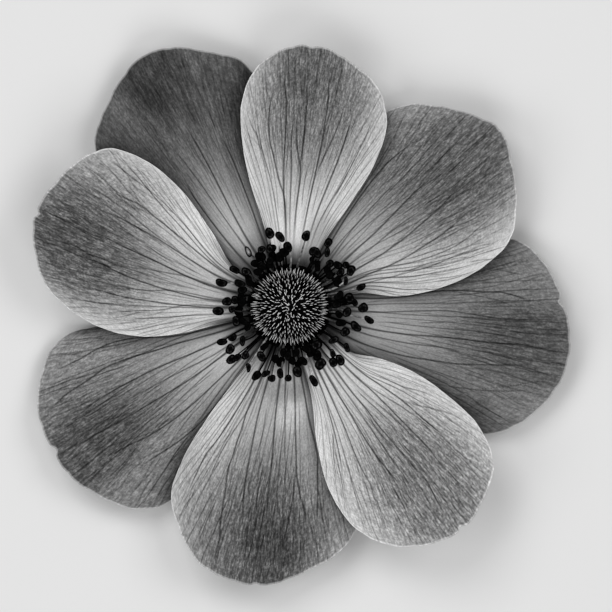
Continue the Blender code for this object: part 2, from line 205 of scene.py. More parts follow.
# Pistil: the dome, with a neck under it as (radius, height), and its styles: how many, how far down
# they start in the dome, how they rise, crowd and splay outward, how much each differs from the rule,
# and the curl of the tips, which ends at this share of the way to the rim
DOME_CENTRE = 8.9
DOME_RADIUS = 4.35
DOME_HEIGHT = 3.72
DOME_NECK = [(2.9, 7.35), (3.5, 7.45)]
DOME_UNDER = -0.35
DOME_RINGS = 18
DOME_SIDES = 64
NEEDLES = 450
NEEDLE_RINGS = 8
NEEDLE_SIDES = 6
NEEDLE_LENGTH = 1.62
NEEDLE_SUNK = 0.15
NEEDLE_BEND = 0.10
NEEDLE_REACH = 1.03
NEEDLE_CROWD = 0.57
NEEDLE_SPLAY = 0.62
OUT_PLAY = 0.008
TURN_PLAY = 0.03
LEVEL_PLAY = (0.75, 1.15)
LENGTH_PLAY = (0.92, 1.03)
GIRTH_MIDDLE = 1.04
GIRTH_LOSS = 0.10
GIRTH_PLAY = (0.85, 1.15)
STRAY_MIDDLE = (0.05, 0.5)
STRAY = 0.09
TIP_PALE = 0.9
TIP_CURL = (0.12, 0.36)
CURL_DOWN = 0.4
CURL_FROM = 0.55
CURL_END = 0.45
NEEDLE_TAPER = ([0.0, 0.4, 0.8, 0.9, 1.0], [0.030, 0.035, 0.043, 0.039, 0.024])
GOLDEN_ANGLE = math.pi * (3.0 - math.sqrt(5.0))

# Styles below the rim of the dome, which point outward; their tips are kept dark as painted shade
LOW_NEEDLES = 130
LOW_NEEDLE_TURN = 0.05
LOW_NEEDLE_LENGTH = 0.8
LOW_NEEDLE_FALL = 0.35
LOW_NEEDLE_RISE = 0.1
LOW_NEEDLE_SHADED_TONE = (0.06, 0.16)
LOW_NEEDLE_BARE = 0.4

# From the middle of the dome (0) to its rim (1): how pale the styles' tips are, and up to which share
# of their length they are dark
LEVEL_OUT = [0.0, 0.3, 0.55, 0.72, 0.86, 0.95, 1.0]
LEVEL_SIZE = [4.4, 2.5, 2.3, 0.74, 0.66, 1.8, 2.3]
BARE_SIZE = [0.40, 0.63, 0.67, 0.70, 0.63, 0.46, 0.40]

# Stamens: the collar, the filaments' roots, bow, radius and tones (dark ones, and the share of greyer
# ones), and the anthers' height, which falls outward, their tilt, size against the table below, form
# along them and across, lumps, curve and tone, their furrow, and the seam where they open
COLLAR_IN = 3.35
COLLAR_OUT = 6.4
COLLAR_LOW = 6.4
COLLAR_TOP = 7.3
COLLAR_BEVEL = 0.3
COLLAR_STEP = 0.4
COLLAR_SIDES = 96
ROOT_REACH = (5.3, 6.05)
ROOT_ASIDE = 0.3
ROOT_SUNK = 0.2
FILAMENT_RINGS = 12
FILAMENT_SIDES = 8
FILAMENT_BOW = 0.35
FILAMENT_RISE = 0.16
FILAMENT_FOOT = 0.17
FILAMENT_TAPER = 0.07
FILAMENT_DARK = (0.0005, 0.004)
FILAMENT_GREY = (0.03, 0.13)
GREY_SHARE = 0.3
ANTHER_RINGS = 17
ANTHER_SIDES = 24
ANTHER_HIGH = 12.6
ANTHER_FALL = 0.55
ANTHER_FALL_FROM = 8.0
ANTHER_PLAY = 0.3
ANTHER_TILT = (-0.25, 0.35)
ANTHER_PLUMP = 1.07
ANTHER_BLUNT = 2.3
ANTHER_END = 0.03
ANTHER_FLAT = 0.72
ANTHER_LUMP = 0.11
LUMP_TWIST = 2.4
LUMP_START = 6.3
LUMP_PLAY = (0.3, 1.0)
ANTHER_ARCH = 0.16
ANTHER_TONE = (0.0004, 0.0012)
FURROW = 0.30
FURROW_WIDE = 0.42
SEAM_OUT = 0.62
SEAM_WIDE = 0.06
SEAM_SIDE = -0.05
# The seams of the stamens below are dimmed to this share as painted shade
SEAM_IN_SHADE = 0.15
SEAM_PLAY = (0.3, 1.2)

# Stem: corners as (radius, height); then steps on each leg between corners, and the low ribs on the
# stem and the collar, which fade towards the axis
STEM = [(0.02, 0.52), (0.5, 0.5), (1.95, 0.42), (2.2, 0.55), (2.25, 1.0), (2.3, 1.8), (2.6, 2.5),
        (2.95, 3.1), (3.0, 5.5), (2.95, 6.9), (2.5, 7.28), (0.02, 7.3)]
STEM_SIDES = 120
LEG_STEPS = 5
RIB = 0.05
RIB_REACH = 1.5
STEM_RIBS = 16
COLLAR_RIBS = 36

# Each tepal: the way it points, its layer from the bottom, how far its sides cup up, its wave (height,
# count, start), the grey of the bare blade, partly painted shade on the lower layers, how dark its thin
# veins are, how dark all veins stay at the claw, how strong its grain is and the reach at which the
# painted shade of the stamens ends. Then its nicks as (x, y, depth, width), its margin from one end of the
# claw to the other, veins as (strength 1 to 3, places) and patches as (across, outward, half width, half
# length, how much darker; lighter if negative): the blade's own dark patches, with painted shade and
# painted light among them
TEPALS = [
    {
        "name": "tepal_top", "aim": 84, "layer": 2, "cups": (2.3, 2.3), "wave": (0.30, 3, 0.4),
        "grey": 0.74, "fine": 0.9, "foot": 0.3, "grain": 0.9, "lit_from": 10.4,
        "nicks": [(3.2, 39.0, 0.35, 0.6)],
        "margin": [
            (-4.1, 13.1), (-5.9, 18.7), (-7.1, 25.0), (-7.1, 31.0), (-5.2, 35.5), (-1.1, 38.5),
            (2.4, 39.2), (6.1, 38.5), (8.9, 36.8), (13.4, 32.6), (14.6, 27.8), (12.9, 21.8),
            (9.1, 15.5), (4.9, 9.1),
        ],
        "veins": [
            (1, [(.19, .45), (.18, .6), (.14, .85)]),
            (2, [(.285, .25), (.27, .42), (.245, .58), (.22, .72), (.19, .8), (.17, .9)]),
            (1, [(.24, .62), (.235, .8), (.25, .95)]),
            (3, [(.36, .38), (.33, .45), (.305, .58), (.295, .64), (.30, .72), (.32, .82), (.34, .86)]),
            (3, [(.37, .25), (.365, .45), (.38, .6), (.39, .72), (.38, .9)]),
            (2, [(.42, .3), (.42, .5), (.415, .6), (.43, .7)]),
            (3, [(.478, .3), (.475, .5), (.45, .57), (.44, .68)]),
            (3, [(.476, .48), (.48, .6), (.48, .75), (.47, .85)]),
            (1, [(.53, .3), (.52, .45), (.54, .55)]),
            (3, [(.59, .25), (.585, .45), (.58, .65), (.57, .78), (.55, .9)]),
            (2, [(.587, .48), (.62, .6), (.64, .72), (.64, .85)]),
            (1, [(.64, .3), (.63, .5)]),
            (3, [(.68, .25), (.69, .45), (.695, .65), (.69, .75), (.68, .82)]),
            (2, [(.74, .3), (.77, .45), (.79, .65), (.79, .78), (.78, .9)]),
            (1, [(.82, .5), (.84, .7), (.88, .9)]),
        ],
        "patches_and_painted_light": [
            (.50, .80, .26, .36, .56),
            (.50, .82, .46, .46, .32),
            (.50, .14, .35, .20, -.12),
            (.47, .92, .13, .16, .22),
            (.82, .20, .17, .17, .30),
            (.38, .31, .05, .06, .20),
        ],
    },
    {
        "name": "tepal_upper_right", "aim": 33, "layer": 1, "cups": (0.0, 1.5), "wave": (0.30, 3, 1.9),
        "grey": 0.62, "fine": 1.1, "foot": 0.9, "grain": 0.9, "lit_from": 14.2,
        "nicks": [(31.7, 27.0, 0.28, 0.4)],
        "margin": [
            (2.6, 9.2), (7.0, 18.5), (11.4, 26.4), (14.6, 29.2), (17.9, 30.4), (22.6, 30.1),
            (28.6, 28.4), (31.3, 27.0), (33.4, 21.55), (34.1, 15.1), (33.2, 10.2), (29.4, 6.2),
            (23.2, 3.0), (16.6, 1.6), (10.0, 2.0),
        ],
        "veins": [
            (3, [(.275, .25), (.255, .38), (.24, .52), (.24, .62), (.245, .68), (.27, .77), (.29, .83)]),
            (2, [(.385, .2), (.355, .35), (.34, .5), (.34, .62)]),
            (1, [(.46, .2), (.45, .3), (.425, .4), (.41, .48)]),
            (3, [(.525, .2), (.50, .35), (.465, .47), (.447, .56), (.44, .7)]),
            (2, [(.595, .22), (.58, .32), (.56, .38), (.54, .45), (.53, .58)]),
            (3, [(.69, .2), (.66, .35), (.62, .46), (.59, .56), (.56, .7), (.54, .8)]),
            (3, [(.795, .2), (.77, .32), (.74, .42), (.70, .54), (.68, .65), (.65, .77)]),
            (2, [(.755, .37), (.76, .5), (.76, .65), (.755, .72), (.73, .82), (.71, .9)]),
            (2, [(.865, .28), (.84, .38), (.815, .48), (.81, .57), (.80, .75), (.815, .85)]),
            (1, [(.812, .55), (.835, .65), (.85, .72)]),
            (1, [(.88, .3), (.875, .42), (.87, .55), (.88, .65), (.9, .75)]),
            (1, [(.64, .45), (.635, .6)]),
            (1, [(.30, .55), (.31, .65), (.3, .75)]),
        ],
        "patches_and_painted_light": [
            (.47, .80, .31, .42, .56),
            (.25, .80, .50, .44, .34),
            (.54, .80, .17, .24, .18),
            (.52, .28, .30, .16, .14),
        ],
    },
    {
        "name": "tepal_right", "aim": -8, "layer": 0, "cups": (0.0, 0.0), "wave": (0.25, 2, 0.0),
        "grey": 0.46, "fine": 1.1, "foot": 1.0, "grain": 0.7, "lit_from": 14.0,
        "nicks": [(40.9, 0.6, 0.7, 0.7)],
        "margin": [
            (9.6, 4.0), (20.0, 6.8), (29.0, 9.4), (34.2, 10.0), (36.8, 8.3), (39.3, 5.1),
            (40.8, 1.8), (41.9, -2.3), (42.15, -6.6), (41.05, -10.75), (37.65, -15.3), (33.7, -18.1),
            (29.8, -19.2), (24.6, -18.2), (16.0, -13.0), (7.4, -7.6),
        ],
        "veins": [
            (3, [(.27, .15), (.30, .28), (.30, .4), (.285, .5), (.29, .6), (.305, .7), (.315, .78),
                 (.34, .85), (.355, .9)]),
            (1, [(.33, .22), (.31, .33)]),
            (2, [(.42, .22), (.41, .3), (.395, .42), (.39, .55), (.405, .65), (.42, .78)]),
            (1, [(.50, .25), (.48, .33), (.47, .42)]),
            (3, [(.565, .22), (.55, .35), (.53, .48), (.52, .58), (.515, .7), (.505, .8), (.495, .88)]),
            (2, [(.62, .22), (.60, .38), (.58, .5), (.57, .6)]),
            (3, [(.715, .22), (.695, .33), (.68, .42), (.655, .52), (.635, .62), (.61, .7), (.59, .77),
                 (.565, .87)]),
            (2, [(.77, .6), (.735, .7), (.71, .77), (.68, .84), (.65, .92)]),
            (1, [(.21, .78), (.24, .84), (.27, .93)]),
        ],
        "patches_and_painted_light": [
            (.51, .84, .17, .30, .38),
            (.50, .85, .90, .46, .52),
            (.46, .84, .10, .22, .20),
            (.84, .80, .09, .30, .26),
            (.19, .55, .09, .32, .30),
        ],
    },
    {
        "name": "tepal_lower_right", "aim": -54, "layer": 2, "cups": (2.1, 2.1), "wave": (0.30, 3, 2.6),
        "grey": 0.74, "fine": 1.0, "foot": 0.9, "grain": 1.25, "lit_from": 11.6,
        "nicks": [(26.0, -33.4, 0.45, 0.6)],
        "margin": [
            (9.2, -6.9), (13.4, -7.8), (18.1, -9.6), (24.1, -13.7), (28.6, -18.3), (30.6, -24.0),
            (29.1, -28.7), (26.2, -33.1), (22.0, -35.3), (15.4, -35.85), (10.2, -33.5),
            (6.2, -28.0), (4.2, -20.9), (3.2, -13.0),
        ],
        "veins": [
            (2, [(.19, .38), (.205, .47), (.2, .53), (.17, .62), (.14, .75)]),
            (3, [(.255, .28), (.265, .36), (.285, .46), (.295, .55), (.305, .62), (.31, .72), (.315, .77)]),
            (2, [(.293, .52), (.26, .6), (.22, .7), (.18, .82)]),
            (3, [(.34, .28), (.345, .36), (.37, .45), (.385, .55), (.39, .65), (.395, .73), (.40, .78)]),
            (1, [(.43, .3), (.435, .45), (.43, .57)]),
            (3, [(.48, .3), (.49, .4), (.505, .48), (.50, .58), (.495, .7), (.49, .8), (.5, .85),
                 (.51, .93)]),
            (2, [(.535, .35), (.55, .45), (.555, .6), (.555, .7)]),
            (3, [(.605, .3), (.61, .36), (.62, .48), (.615, .57), (.60, .66), (.585, .75)]),
            (3, [(.685, .28), (.70, .38), (.71, .5), (.71, .62), (.70, .7), (.69, .75)]),
            (2, [(.75, .27), (.77, .35), (.79, .42), (.80, .52), (.805, .62), (.81, .7)]),
            (2, [(.80, .48), (.84, .6), (.86, .7), (.88, .8)]),
            (1, [(.86, .45), (.88, .6)]),
            (1, [(.13, .5), (.1, .85)]),
        ],
        "patches_and_painted_light": [
            (.49, .78, .22, .34, .46),
            (.50, .82, .42, .50, .34),
        ],
    },
    {
        "name": "tepal_bottom", "aim": -97, "layer": 1, "cups": (0.0, 1.5), "wave": (0.25, 3, 0.9),
        "grey": 0.62, "fine": 1.05, "foot": 0.9, "grain": 1.0, "lit_from": 11.6,
        "nicks": [(-5.2, -42.0, 0.3, 0.5)],
        "margin": [
            (4.9, -9.4), (6.8, -17.0), (8.9, -27.0), (9.9, -33.6), (8.1, -36.3), (3.1, -39.5),
            (-4.4, -41.9), (-9.6, -40.8), (-13.3, -38.7), (-16.5, -33.5), (-17.8, -28.6),
            (-16.1, -23.1), (-12.5, -17.0), (-6.9, -9.4),
        ],
        "veins": [
            (3, [(.31, .22), (.30, .3), (.285, .4), (.265, .48), (.255, .55), (.265, .65), (.275, .75),
                 (.285, .85)]),
            (1, [(.23, .75), (.24, .85), (.245, .9)]),
            (3, [(.385, .3), (.38, .4), (.37, .5), (.365, .58), (.35, .68), (.33, .76), (.325, .85)]),
            (2, [(.366, .56), (.375, .65), (.39, .75), (.405, .83), (.415, .87)]),
            (2, [(.47, .28), (.45, .38), (.435, .48), (.42, .57)]),
            (3, [(.53, .3), (.52, .38), (.505, .46), (.495, .55), (.49, .65), (.485, .75)]),
            (1, [(.50, .45), (.46, .57)]),
            (2, [(.535, .52), (.53, .7), (.515, .8)]),
            (3, [(.65, .3), (.64, .38), (.62, .48), (.605, .58), (.59, .68), (.57, .78)]),
            (3, [(.73, .25), (.73, .38), (.715, .45), (.70, .55), (.69, .63), (.67, .7), (.65, .8),
                 (.62, .95)]),
            (2, [(.732, .4), (.745, .45), (.76, .55), (.765, .65), (.76, .75)]),
            (3, [(.79, .28), (.80, .38), (.81, .5), (.82, .6), (.835, .68), (.83, .78), (.825, .88)]),
            (1, [(.83, .3), (.845, .42), (.855, .55)]),
            (1, [(.60, .3), (.585, .4), (.57, .5), (.565, .58)]),
            (1, [(.66, .45), (.655, .58)]),
        ],
        "patches_and_painted_light": [
            (.50, .90, .28, .44, .62),
            (.30, .75, .45, .40, .20),
            (.46, .90, .13, .26, .44),
            (.66, .42, .32, .34, .20),
            (.86, .86, .16, .26, .22),
            (.24, .86, .14, .24, .20),
            (.85, .50, .11, .26, -.24),
            (.42, .35, .11, .07, -.34),
            (.56, .25, .13, .05, .20),
            (.37, .265, .07, .04, .26),
        ],
    },
    {
        "name": "tepal_lower_left", "aim": -151, "layer": 0, "cups": (0.0, 0.0), "wave": (0.25, 2, 1.2),
        "grey": 0.62, "fine": 1.15, "foot": 1.0, "grain": 0.85, "lit_from": 12.4,
        "nicks": [(-35.3, -21.6, 0.7, 0.7)],
        "margin": [
            (-4.9, -9.4), (-10.6, -19.4), (-15.6, -27.2), (-19.7, -30.1), (-23.6, -30.4),
            (-28.4, -28.6), (-32.9, -25.6), (-35.7, -21.6), (-37.9, -15.6), (-37.45, -10.45),
            (-35.7, -6.2), (-32.8, -3.9), (-29.2, -3.1), (-20.0, -1.2), (-10.0, 0.8),
        ],
        "veins": [
            (3, [(.17, .26), (.19, .35), (.2, .45), (.215, .55), (.235, .62), (.26, .7), (.285, .78),
                 (.295, .82)]),
            (3, [(.28, .22), (.295, .33), (.31, .45), (.32, .52), (.34, .62), (.36, .7), (.385, .77),
                 (.40, .83), (.42, .88)]),
            (1, [(.36, .3), (.375, .4), (.385, .5)]),
            (3, [(.42, .28), (.435, .42), (.45, .5), (.465, .6), (.475, .7), (.485, .78), (.495, .9)]),
            (2, [(.47, .28), (.50, .4), (.52, .52), (.53, .62)]),
            (3, [(.55, .27), (.575, .4), (.59, .48), (.597, .6), (.595, .7), (.59, .78), (.57, .88)]),
            (3, [(.62, .2), (.645, .3), (.67, .4), (.685, .5), (.70, .6), (.70, .7), (.68, .78),
                 (.66, .88), (.63, .97)]),
            (3, [(.68, .22), (.70, .33), (.72, .4), (.76, .5), (.79, .59), (.793, .75), (.77, .84),
                 (.755, .95)]),
            (1, [(.66, .55), (.66, .65)]),
        ],
        "patches_and_painted_light": [
            (.49, .84, .19, .36, .36),
            (.44, .88, .86, .54, .56),
            (.46, .88, .12, .25, .34),
            (.11, .70, .11, .32, .26),
            (.97, .88, .09, .18, .60),
            (.16, .22, .10, .12, -.50),
        ],
    },
    {
        "name": "tepal_left", "aim": 164, "layer": 2, "cups": (2.2, 2.2), "wave": (0.30, 3, 1.4),
        "grey": 0.74, "fine": 1.0, "foot": 0.9, "grain": 0.95, "lit_from": 12.0,
        "nicks": [(-38.0, 14.0, 0.5, 0.5)],
        "margin": [
            (-10.4, -2.6), (-16.4, -4.0), (-21.5, -4.5), (-27.4, -3.5), (-32.9, -0.5),
            (-36.6, 3.3), (-38.2, 8.4), (-38.2, 13.6), (-34.7, 19.0), (-31.4, 22.0),
            (-27.2, 23.7), (-22.4, 22.3), (-16.4, 17.6), (-11.9, 11.5), (-7.4, 4.9),
        ],
        "veins": [
            (2, [(.155, .25), (.16, .35), (.155, .48), (.15, .58), (.145, .7)]),
            (1, [(.153, .47), (.13, .52), (.11, .58)]),
            (3, [(.255, .25), (.26, .35), (.265, .45), (.27, .55), (.275, .65), (.285, .75), (.275, .85)]),
            (2, [(.262, .36), (.225, .45), (.205, .53), (.2, .62), (.185, .7), (.17, .8)]),
            (3, [(.35, .26), (.36, .38), (.365, .45), (.375, .55), (.385, .62), (.40, .7), (.41, .8)]),
            (2, [(.363, .41), (.335, .5), (.32, .6), (.3, .7)]),
            (1, [(.42, .3), (.41, .42), (.40, .5)]),
            (3, [(.51, .2), (.515, .35), (.515, .45), (.513, .57), (.515, .68)]),
            (2, [(.515, .33), (.48, .42), (.455, .5), (.45, .6)]),
            (1, [(.513, .51), (.49, .56), (.45, .62)]),
            (1, [(.514, .55), (.53, .6), (.545, .67)]),
            (1, [(.58, .28), (.575, .38), (.56, .48), (.575, .57)]),
            (3, [(.655, .25), (.645, .38), (.635, .48), (.625, .6), (.615, .7), (.60, .8)]),
            (3, [(.74, .28), (.73, .4), (.72, .5), (.715, .6), (.71, .7), (.695, .75), (.68, .82)]),
            (2, [(.71, .68), (.73, .74), (.74, .8)]),
            (2, [(.80, .35), (.80, .5), (.80, .65), (.79, .72), (.775, .82), (.765, .95)]),
            (1, [(.86, .4), (.87, .6), (.88, .75)]),
        ],
        "patches_and_painted_light": [
            (.46, .80, .27, .38, .58),
            (.45, .85, .42, .50, .35),
            (.52, .26, .30, .20, .22),
            (.44, .84, .16, .20, .30),
            (.84, .86, .16, .22, .16),
            (.12, .58, .11, .20, .12),
        ],
    },
    {
        "name": "tepal_upper_left", "aim": 120, "layer": 0, "cups": (0.0, 0.0), "wave": (0.25, 2, 2.4),
        "grey": 0.68, "fine": 0.65, "foot": 0.9, "grain": 0.45, "lit_from": 14.2,
        "nicks": [],
        "margin": [
            (-7.0, 3.9), (-15.0, 9.6), (-23.6, 16.4), (-28.6, 21.2), (-29.3, 25.0),
            (-27.6, 30.1), (-25.3, 34.3), (-22.4, 37.5), (-18.2, 38.9), (-11.6, 38.2),
            (-7.6, 37.2), (-4.9, 34.2), (-3.4, 26.0), (-2.2, 16.0), (-0.9, 8.6),
        ],
        "veins": [
            (3, [(.32, .2), (.33, .28), (.345, .38), (.36, .48), (.385, .57)]),
            (2, [(.44, .38), (.44, .5), (.43, .65)]),
            (3, [(.505, .2), (.515, .32), (.525, .42), (.53, .5), (.53, .62), (.525, .7)]),
            (1, [(.60, .32), (.60, .45)]),
            (3, [(.665, .2), (.675, .32), (.675, .42), (.67, .52), (.655, .65)]),
            (2, [(.64, .62), (.64, .8)]),
            (2, [(.70, .7), (.71, .85)]),
        ],
        "patches_and_painted_light": [
            (.53, .92, .16, .24, .30),
            (.50, .86, .90, .54, .76),
            (.50, .93, .12, .20, .38),
            (.82, .66, .13, .42, .42),
            (.36, .42, .20, .16, -.26),
        ],
    },
]

# Anthers in plain sight: turn round the axis, reach, the way the long axis points, length and width
ANTHERS = [
    (105.3, 11.4, 110, 1.70, 1.25), (97.8, 10.5, 129, 1.75, 1.05), (91.5, 8.9, 114, 1.65, 1.15),
    (76.4, 10.9, 72, 1.60, 1.15), (58.6, 11.2, 60, 1.45, 1.10), (55.5, 9.9, 84, 1.60, 0.75),
    (66.5, 9.0, 55, 1.45, 1.00), (62.3, 9.1, 110, 1.55, 1.15), (36.3, 10.5, 20, 1.05, 0.95),
    (30.1, 10.7, 69, 1.65, 1.25), (40.6, 9.6, -35, 1.40, 1.05), (47.0, 8.9, 20, 1.20, 1.05),
    (34.5, 9.2, 42, 1.35, 0.95), (24.7, 9.2, 84, 1.30, 0.65), (15.3, 11.1, 27, 1.50, 0.85),
    (8.0, 9.1, 120, 1.60, 1.45), (3.2, 9.7, 125, 1.20, 0.90), (-0.8, 11.0, 30, 1.50, 1.35),
    (-5.5, 8.6, 52, 1.55, 1.10), (-9.3, 12.1, -36, 1.60, 0.90), (-16.4, 10.4, -45, 1.95, 1.10),
    (-24.7, 9.2, 40, 1.45, 1.25), (-35.5, 10.6, -75, 1.45, 0.80), (-37.3, 8.3, 25, 1.60, 0.90),
    (-54.5, 7.1, 30, 1.60, 1.40), (-47.5, 9.5, -75, 1.30, 0.80), (-46.9, 11.0, -65, 1.70, 1.15),
    (-51.9, 10.6, -80, 1.45, 1.20), (-61.7, 9.8, 55, 1.80, 1.50), (-72.1, 11.7, -60, 1.85, 1.00),
    (-82.5, 9.8, -77, 1.75, 1.25), (-91.2, 10.7, 40, 1.05, 0.95), (-97.7, 10.1, -82, 1.55, 0.95),
    (-104.2, 11.0, 20, 1.20, 0.95), (-109.2, 10.7, 30, 1.45, 0.80), (-115.6, 11.5, 49, 1.65, 1.10),
    (-124.2, 11.1, -86, 1.40, 0.70), (-119.5, 8.6, -60, 1.60, 1.10), (-132.5, 9.9, 60, 1.30, 1.00),
    (-135.2, 10.9, 45, 1.30, 0.85), (-138.0, 11.8, 38, 1.60, 1.20), (-144.7, 11.0, 62, 1.55, 1.25),
    (-152.3, 11.4, 6, 1.60, 0.95), (-151.8, 9.7, 30, 1.40, 0.95), (-143.7, 8.7, 87, 1.55, 0.80),
    (-164.8, 8.3, -75, 1.50, 1.15), (-176.4, 10.7, -5, 1.75, 1.15), (175.9, 9.4, 5, 1.45, 1.20),
    (173.2, 8.2, 80, 1.30, 1.05), (-177.0, 8.6, 30, 1.05, 0.95), (160.2, 10.8, -15, 1.80, 1.15),
    (146.4, 9.9, -28, 1.60, 1.00), (127.3, 10.3, -66, 1.70, 0.80), (140.5, 8.4, -30, 1.40, 1.10),
    (116.0, 9.4, 40, 1.25, 1.00), (109.5, 9.2, 80, 1.35, 1.00), (154.6, 8.2, -20, 1.70, 1.05),
]

# Turn and brightness of the pale filaments, the turn of the one pale anther, and its brightness
# from the middle out to its dark border
PALE_FILAMENTS = {91.5: 0.5, 97.8: 0.5, -72.1: 0.6, 24.7: 0.45, 15.3: 0.35, -9.3: 0.35, 160.2: 0.35,
                  -176.4: 0.35, -124.2: 0.42, 127.3: 0.12, 76.4: 0.20, 105.3: 0.22, 55.5: 0.12}
PALE_ANTHER = 127.3
PALE_ANTHER_ZONES = ([0.0, 0.25, 0.4, 0.6, 0.7], [0.7, 0.5, 0.2, 0.15, 0.002])

# Stamens below them in their shade: from and to which turn, how many, and the longest reach; then the
# shortest one, how far down they stand, their play within each step, how far they turn aside, and size
LOW_SECTORS = [(92, 104, 3, 8.4), (104, 134, 9, 9.0), (138, 150, 2, 8.2), (28, 46, 4, 8.9),
               (50, 74, 2, 8.0), (160, 192, 5, 7.8), (-20, 28, 6, 8.4), (-83, -76, 3, 9.8),
               (-70, -60, 3, 8.8), (-107, -84, 5, 8.8), (-125, -115, 1, 7.6), (-168, -146, 2, 8.0)]
LOW_NEAREST = 6.9
LOW_DROP = (1.3, 2.4)
LOW_PLAY = (0.1, 0.9)
LOW_TURNED = 60
LOW_LENGTH = (1.2, 1.7)
LOW_WIDTH = (0.85, 1.15)


def ease(value):
    """0 below 0, 1 above 1 and a smooth step between."""
    value = np.clip(value, 0.0, 1.0)
    return value * value * (3.0 - 2.0 * value)


def hermite(knots, values, where):
    """A smooth curve through values at knots, and its slope, at the places asked for."""
    slopes = np.gradient(values, knots, axis=0)
    where = np.clip(where, knots[0], knots[-1])
    first = np.clip(np.searchsorted(knots, where, side="right") - 1, 0, len(knots) - 2)
    span = knots[first + 1] - knots[first]
    part = (where - knots[first]) / span
    if values.ndim > 1:
        span, part = span[..., None], part[..., None]
    start, end = values[first], values[first + 1]
    leaving, arriving = span * slopes[first], span * slopes[first + 1]
    curve = ((1 + 2 * part) * (1 - part) ** 2 * start + part ** 2 * (3 - 2 * part) * end
             + part * (1 - part) ** 2 * leaving + part ** 2 * (part - 1) * arriving)
    slope = (6 * part * (part - 1) * (start - end) + (1 - part) * (1 - 3 * part) * leaving
             + part * (3 * part - 2) * arriving) / span
    return curve, slope


def aim_of(tepal):
    """The way a tepal points, in plan."""
    angle = math.radians(tepal["aim"])
    return np.array([math.cos(angle), math.sin(angle)])


def claw_ends(tepal):
    """The two ends of a tepal's straight claw line, in plan."""
    outward = aim_of(tepal)
    sideways = np.array([-outward[1], outward[0]])
    middle = CLAW_REACH * outward
    return middle + CLAW_HALF * sideways, middle - CLAW_HALF * sideways


def margin_at(tepal, shares):
    """The tepal's margin, nicks and a fine raggedness included, at shares of its length."""
    left, right = claw_ends(tepal)
    points = np.array([left] + tepal["margin"] + [right])
    lengths = np.linalg.norm(np.diff(points, axis=0), axis=1)
    knots = np.concatenate([[0.0], np.cumsum(lengths)])
    line, _ = hermite(knots, points, shares * knots[-1])
    inward = 0.5 * (left + right) - line
    inward /= np.maximum(np.linalg.norm(inward, axis=-1), CLAW_HALF)[..., None]
    for x, y, depth, width in tepal["nicks"]:
        away = np.hypot(line[..., 0] - x, line[..., 1] - y) / width
        line = line + inward * (depth * np.exp(-away ** 2))[..., None]
    start = tepal["aim"]
    slow, quick, swell = (shares * waves for waves in RAGGED_WAVES)
    ragged = np.sin(slow + start) + RAGGED_SHORT * np.sin(quick + 2 * start) * np.sin(swell)
    free = ease((shares - RAGGED_FROM) / RAGGED_FROM) * ease((1.0 - RAGGED_FROM - shares) / RAGGED_FROM)
    return line + inward * (MARGIN_RAGGED * ragged * free)[..., None]


def fan(tepal, across, outward):
    """Plan places on the blade: columns fan out from the claw like veins, rows run across them."""
    s, t = across[..., None], outward[..., None]
    left = margin_at(tepal, SHOULDER * outward)
    right = margin_at(tepal, 1.0 - SHOULDER * outward)
    tip = margin_at(tepal, SHOULDER + (1.0 - 2.0 * SHOULDER) * across)
    corners = margin_at(tepal, np.array([SHOULDER, 1.0 - SHOULDER]))
    tip_chord = (1 - s) * corners[0] + s * corners[1]
    return (1 - s) * left + s * right + t * (tip - tip_chord)


def saucer(x, y):
    """Height of the lowest layer's middle surface."""
    reach = np.hypot(x, y)
    inner = np.clip((TROUGH_REACH - reach) / (TROUGH_REACH - CLAW_REACH), 0.0, None)
    outer = np.clip((reach - TROUGH_REACH) / (TIP_REACH - TROUGH_REACH), 0.0, None)
    rise = TIP_RISE * (1.0 + ROLL * np.sin(ROLL_WAVES * np.arctan2(y, x)))
    return TROUGH_HEIGHT + CLAW_RISE * inner ** CLAW_EASE + rise * outer ** 2


def blade_height(tepal, x, y):
    """Height of a tepal's middle surface over a place in plan."""
    outward = aim_of(tepal)
    sideways = (y * outward[0] - x * outward[1]) / CUP_HALF_WIDTH
    reach = np.hypot(x, y)
    left_cup, right_cup = tepal["cups"]
    cup = np.where(sideways > 0.0, left_cup, right_cup)
    cupping = cup * sideways ** 2 * ease((reach - CUP_FROM) / CUP_OVER)
    lifting = LAYER_LIFT[tepal["layer"]] * np.clip((reach - LIFT_FROM) / LIFT_OVER, 0.0, None) ** LIFT_CURVE
    size, count, start = tepal["wave"]
    waving = size * ease((reach - WAVE_FROM) / WAVE_OVER) * np.sin(count * math.pi * sideways + start)
    keel = KEEL * sideways ** 2 if tepal["layer"] == 0 else 0.0
    return saucer(x, y) + LAYER_STEP * tepal["layer"] + lifting + cupping + waving + keel


def spread(across, outward):
    """Where a line that leaves the claw at a share across has got to: the outer ones bend outward."""
    offset = 2 * across - 1
    return 0.5 + 0.5 * offset * (1 + SPREAD * offset ** 2 * outward ** SPREAD_CURVE)


def gathered(across, outward):
    """The share across the claw that the fine lines through a place come from."""
    offset = 2 * across - 1
    origin = offset
    for _ in range(SPREAD_ROUNDS):
        origin = offset / (1 + SPREAD * origin ** 2 * outward ** SPREAD_CURVE)
    return 0.5 + 0.5 * origin


def branches(places, count, draw):
    """Thin veins that leave a set one and bend away from it."""
    made = []
    for _ in range(count):
        first = draw.uniform(*BRANCH_START)
        knots = np.linspace(first, min(first + draw.uniform(*BRANCH_RUN), 1.0), BRANCH_PLACES)
        main, _ = hermite(places[:, 1], places[:, 0], knots)
        aside = draw.choice([-1, 1]) * draw.uniform(*BRANCH_ASIDE)
        line = main + aside * (knots - first) * (BRANCH_BEND - knots + first)
        made.append((draw.uniform(*BRANCH_DARK), BRANCH_HALF, np.stack([line, knots], axis=1)))
    return made


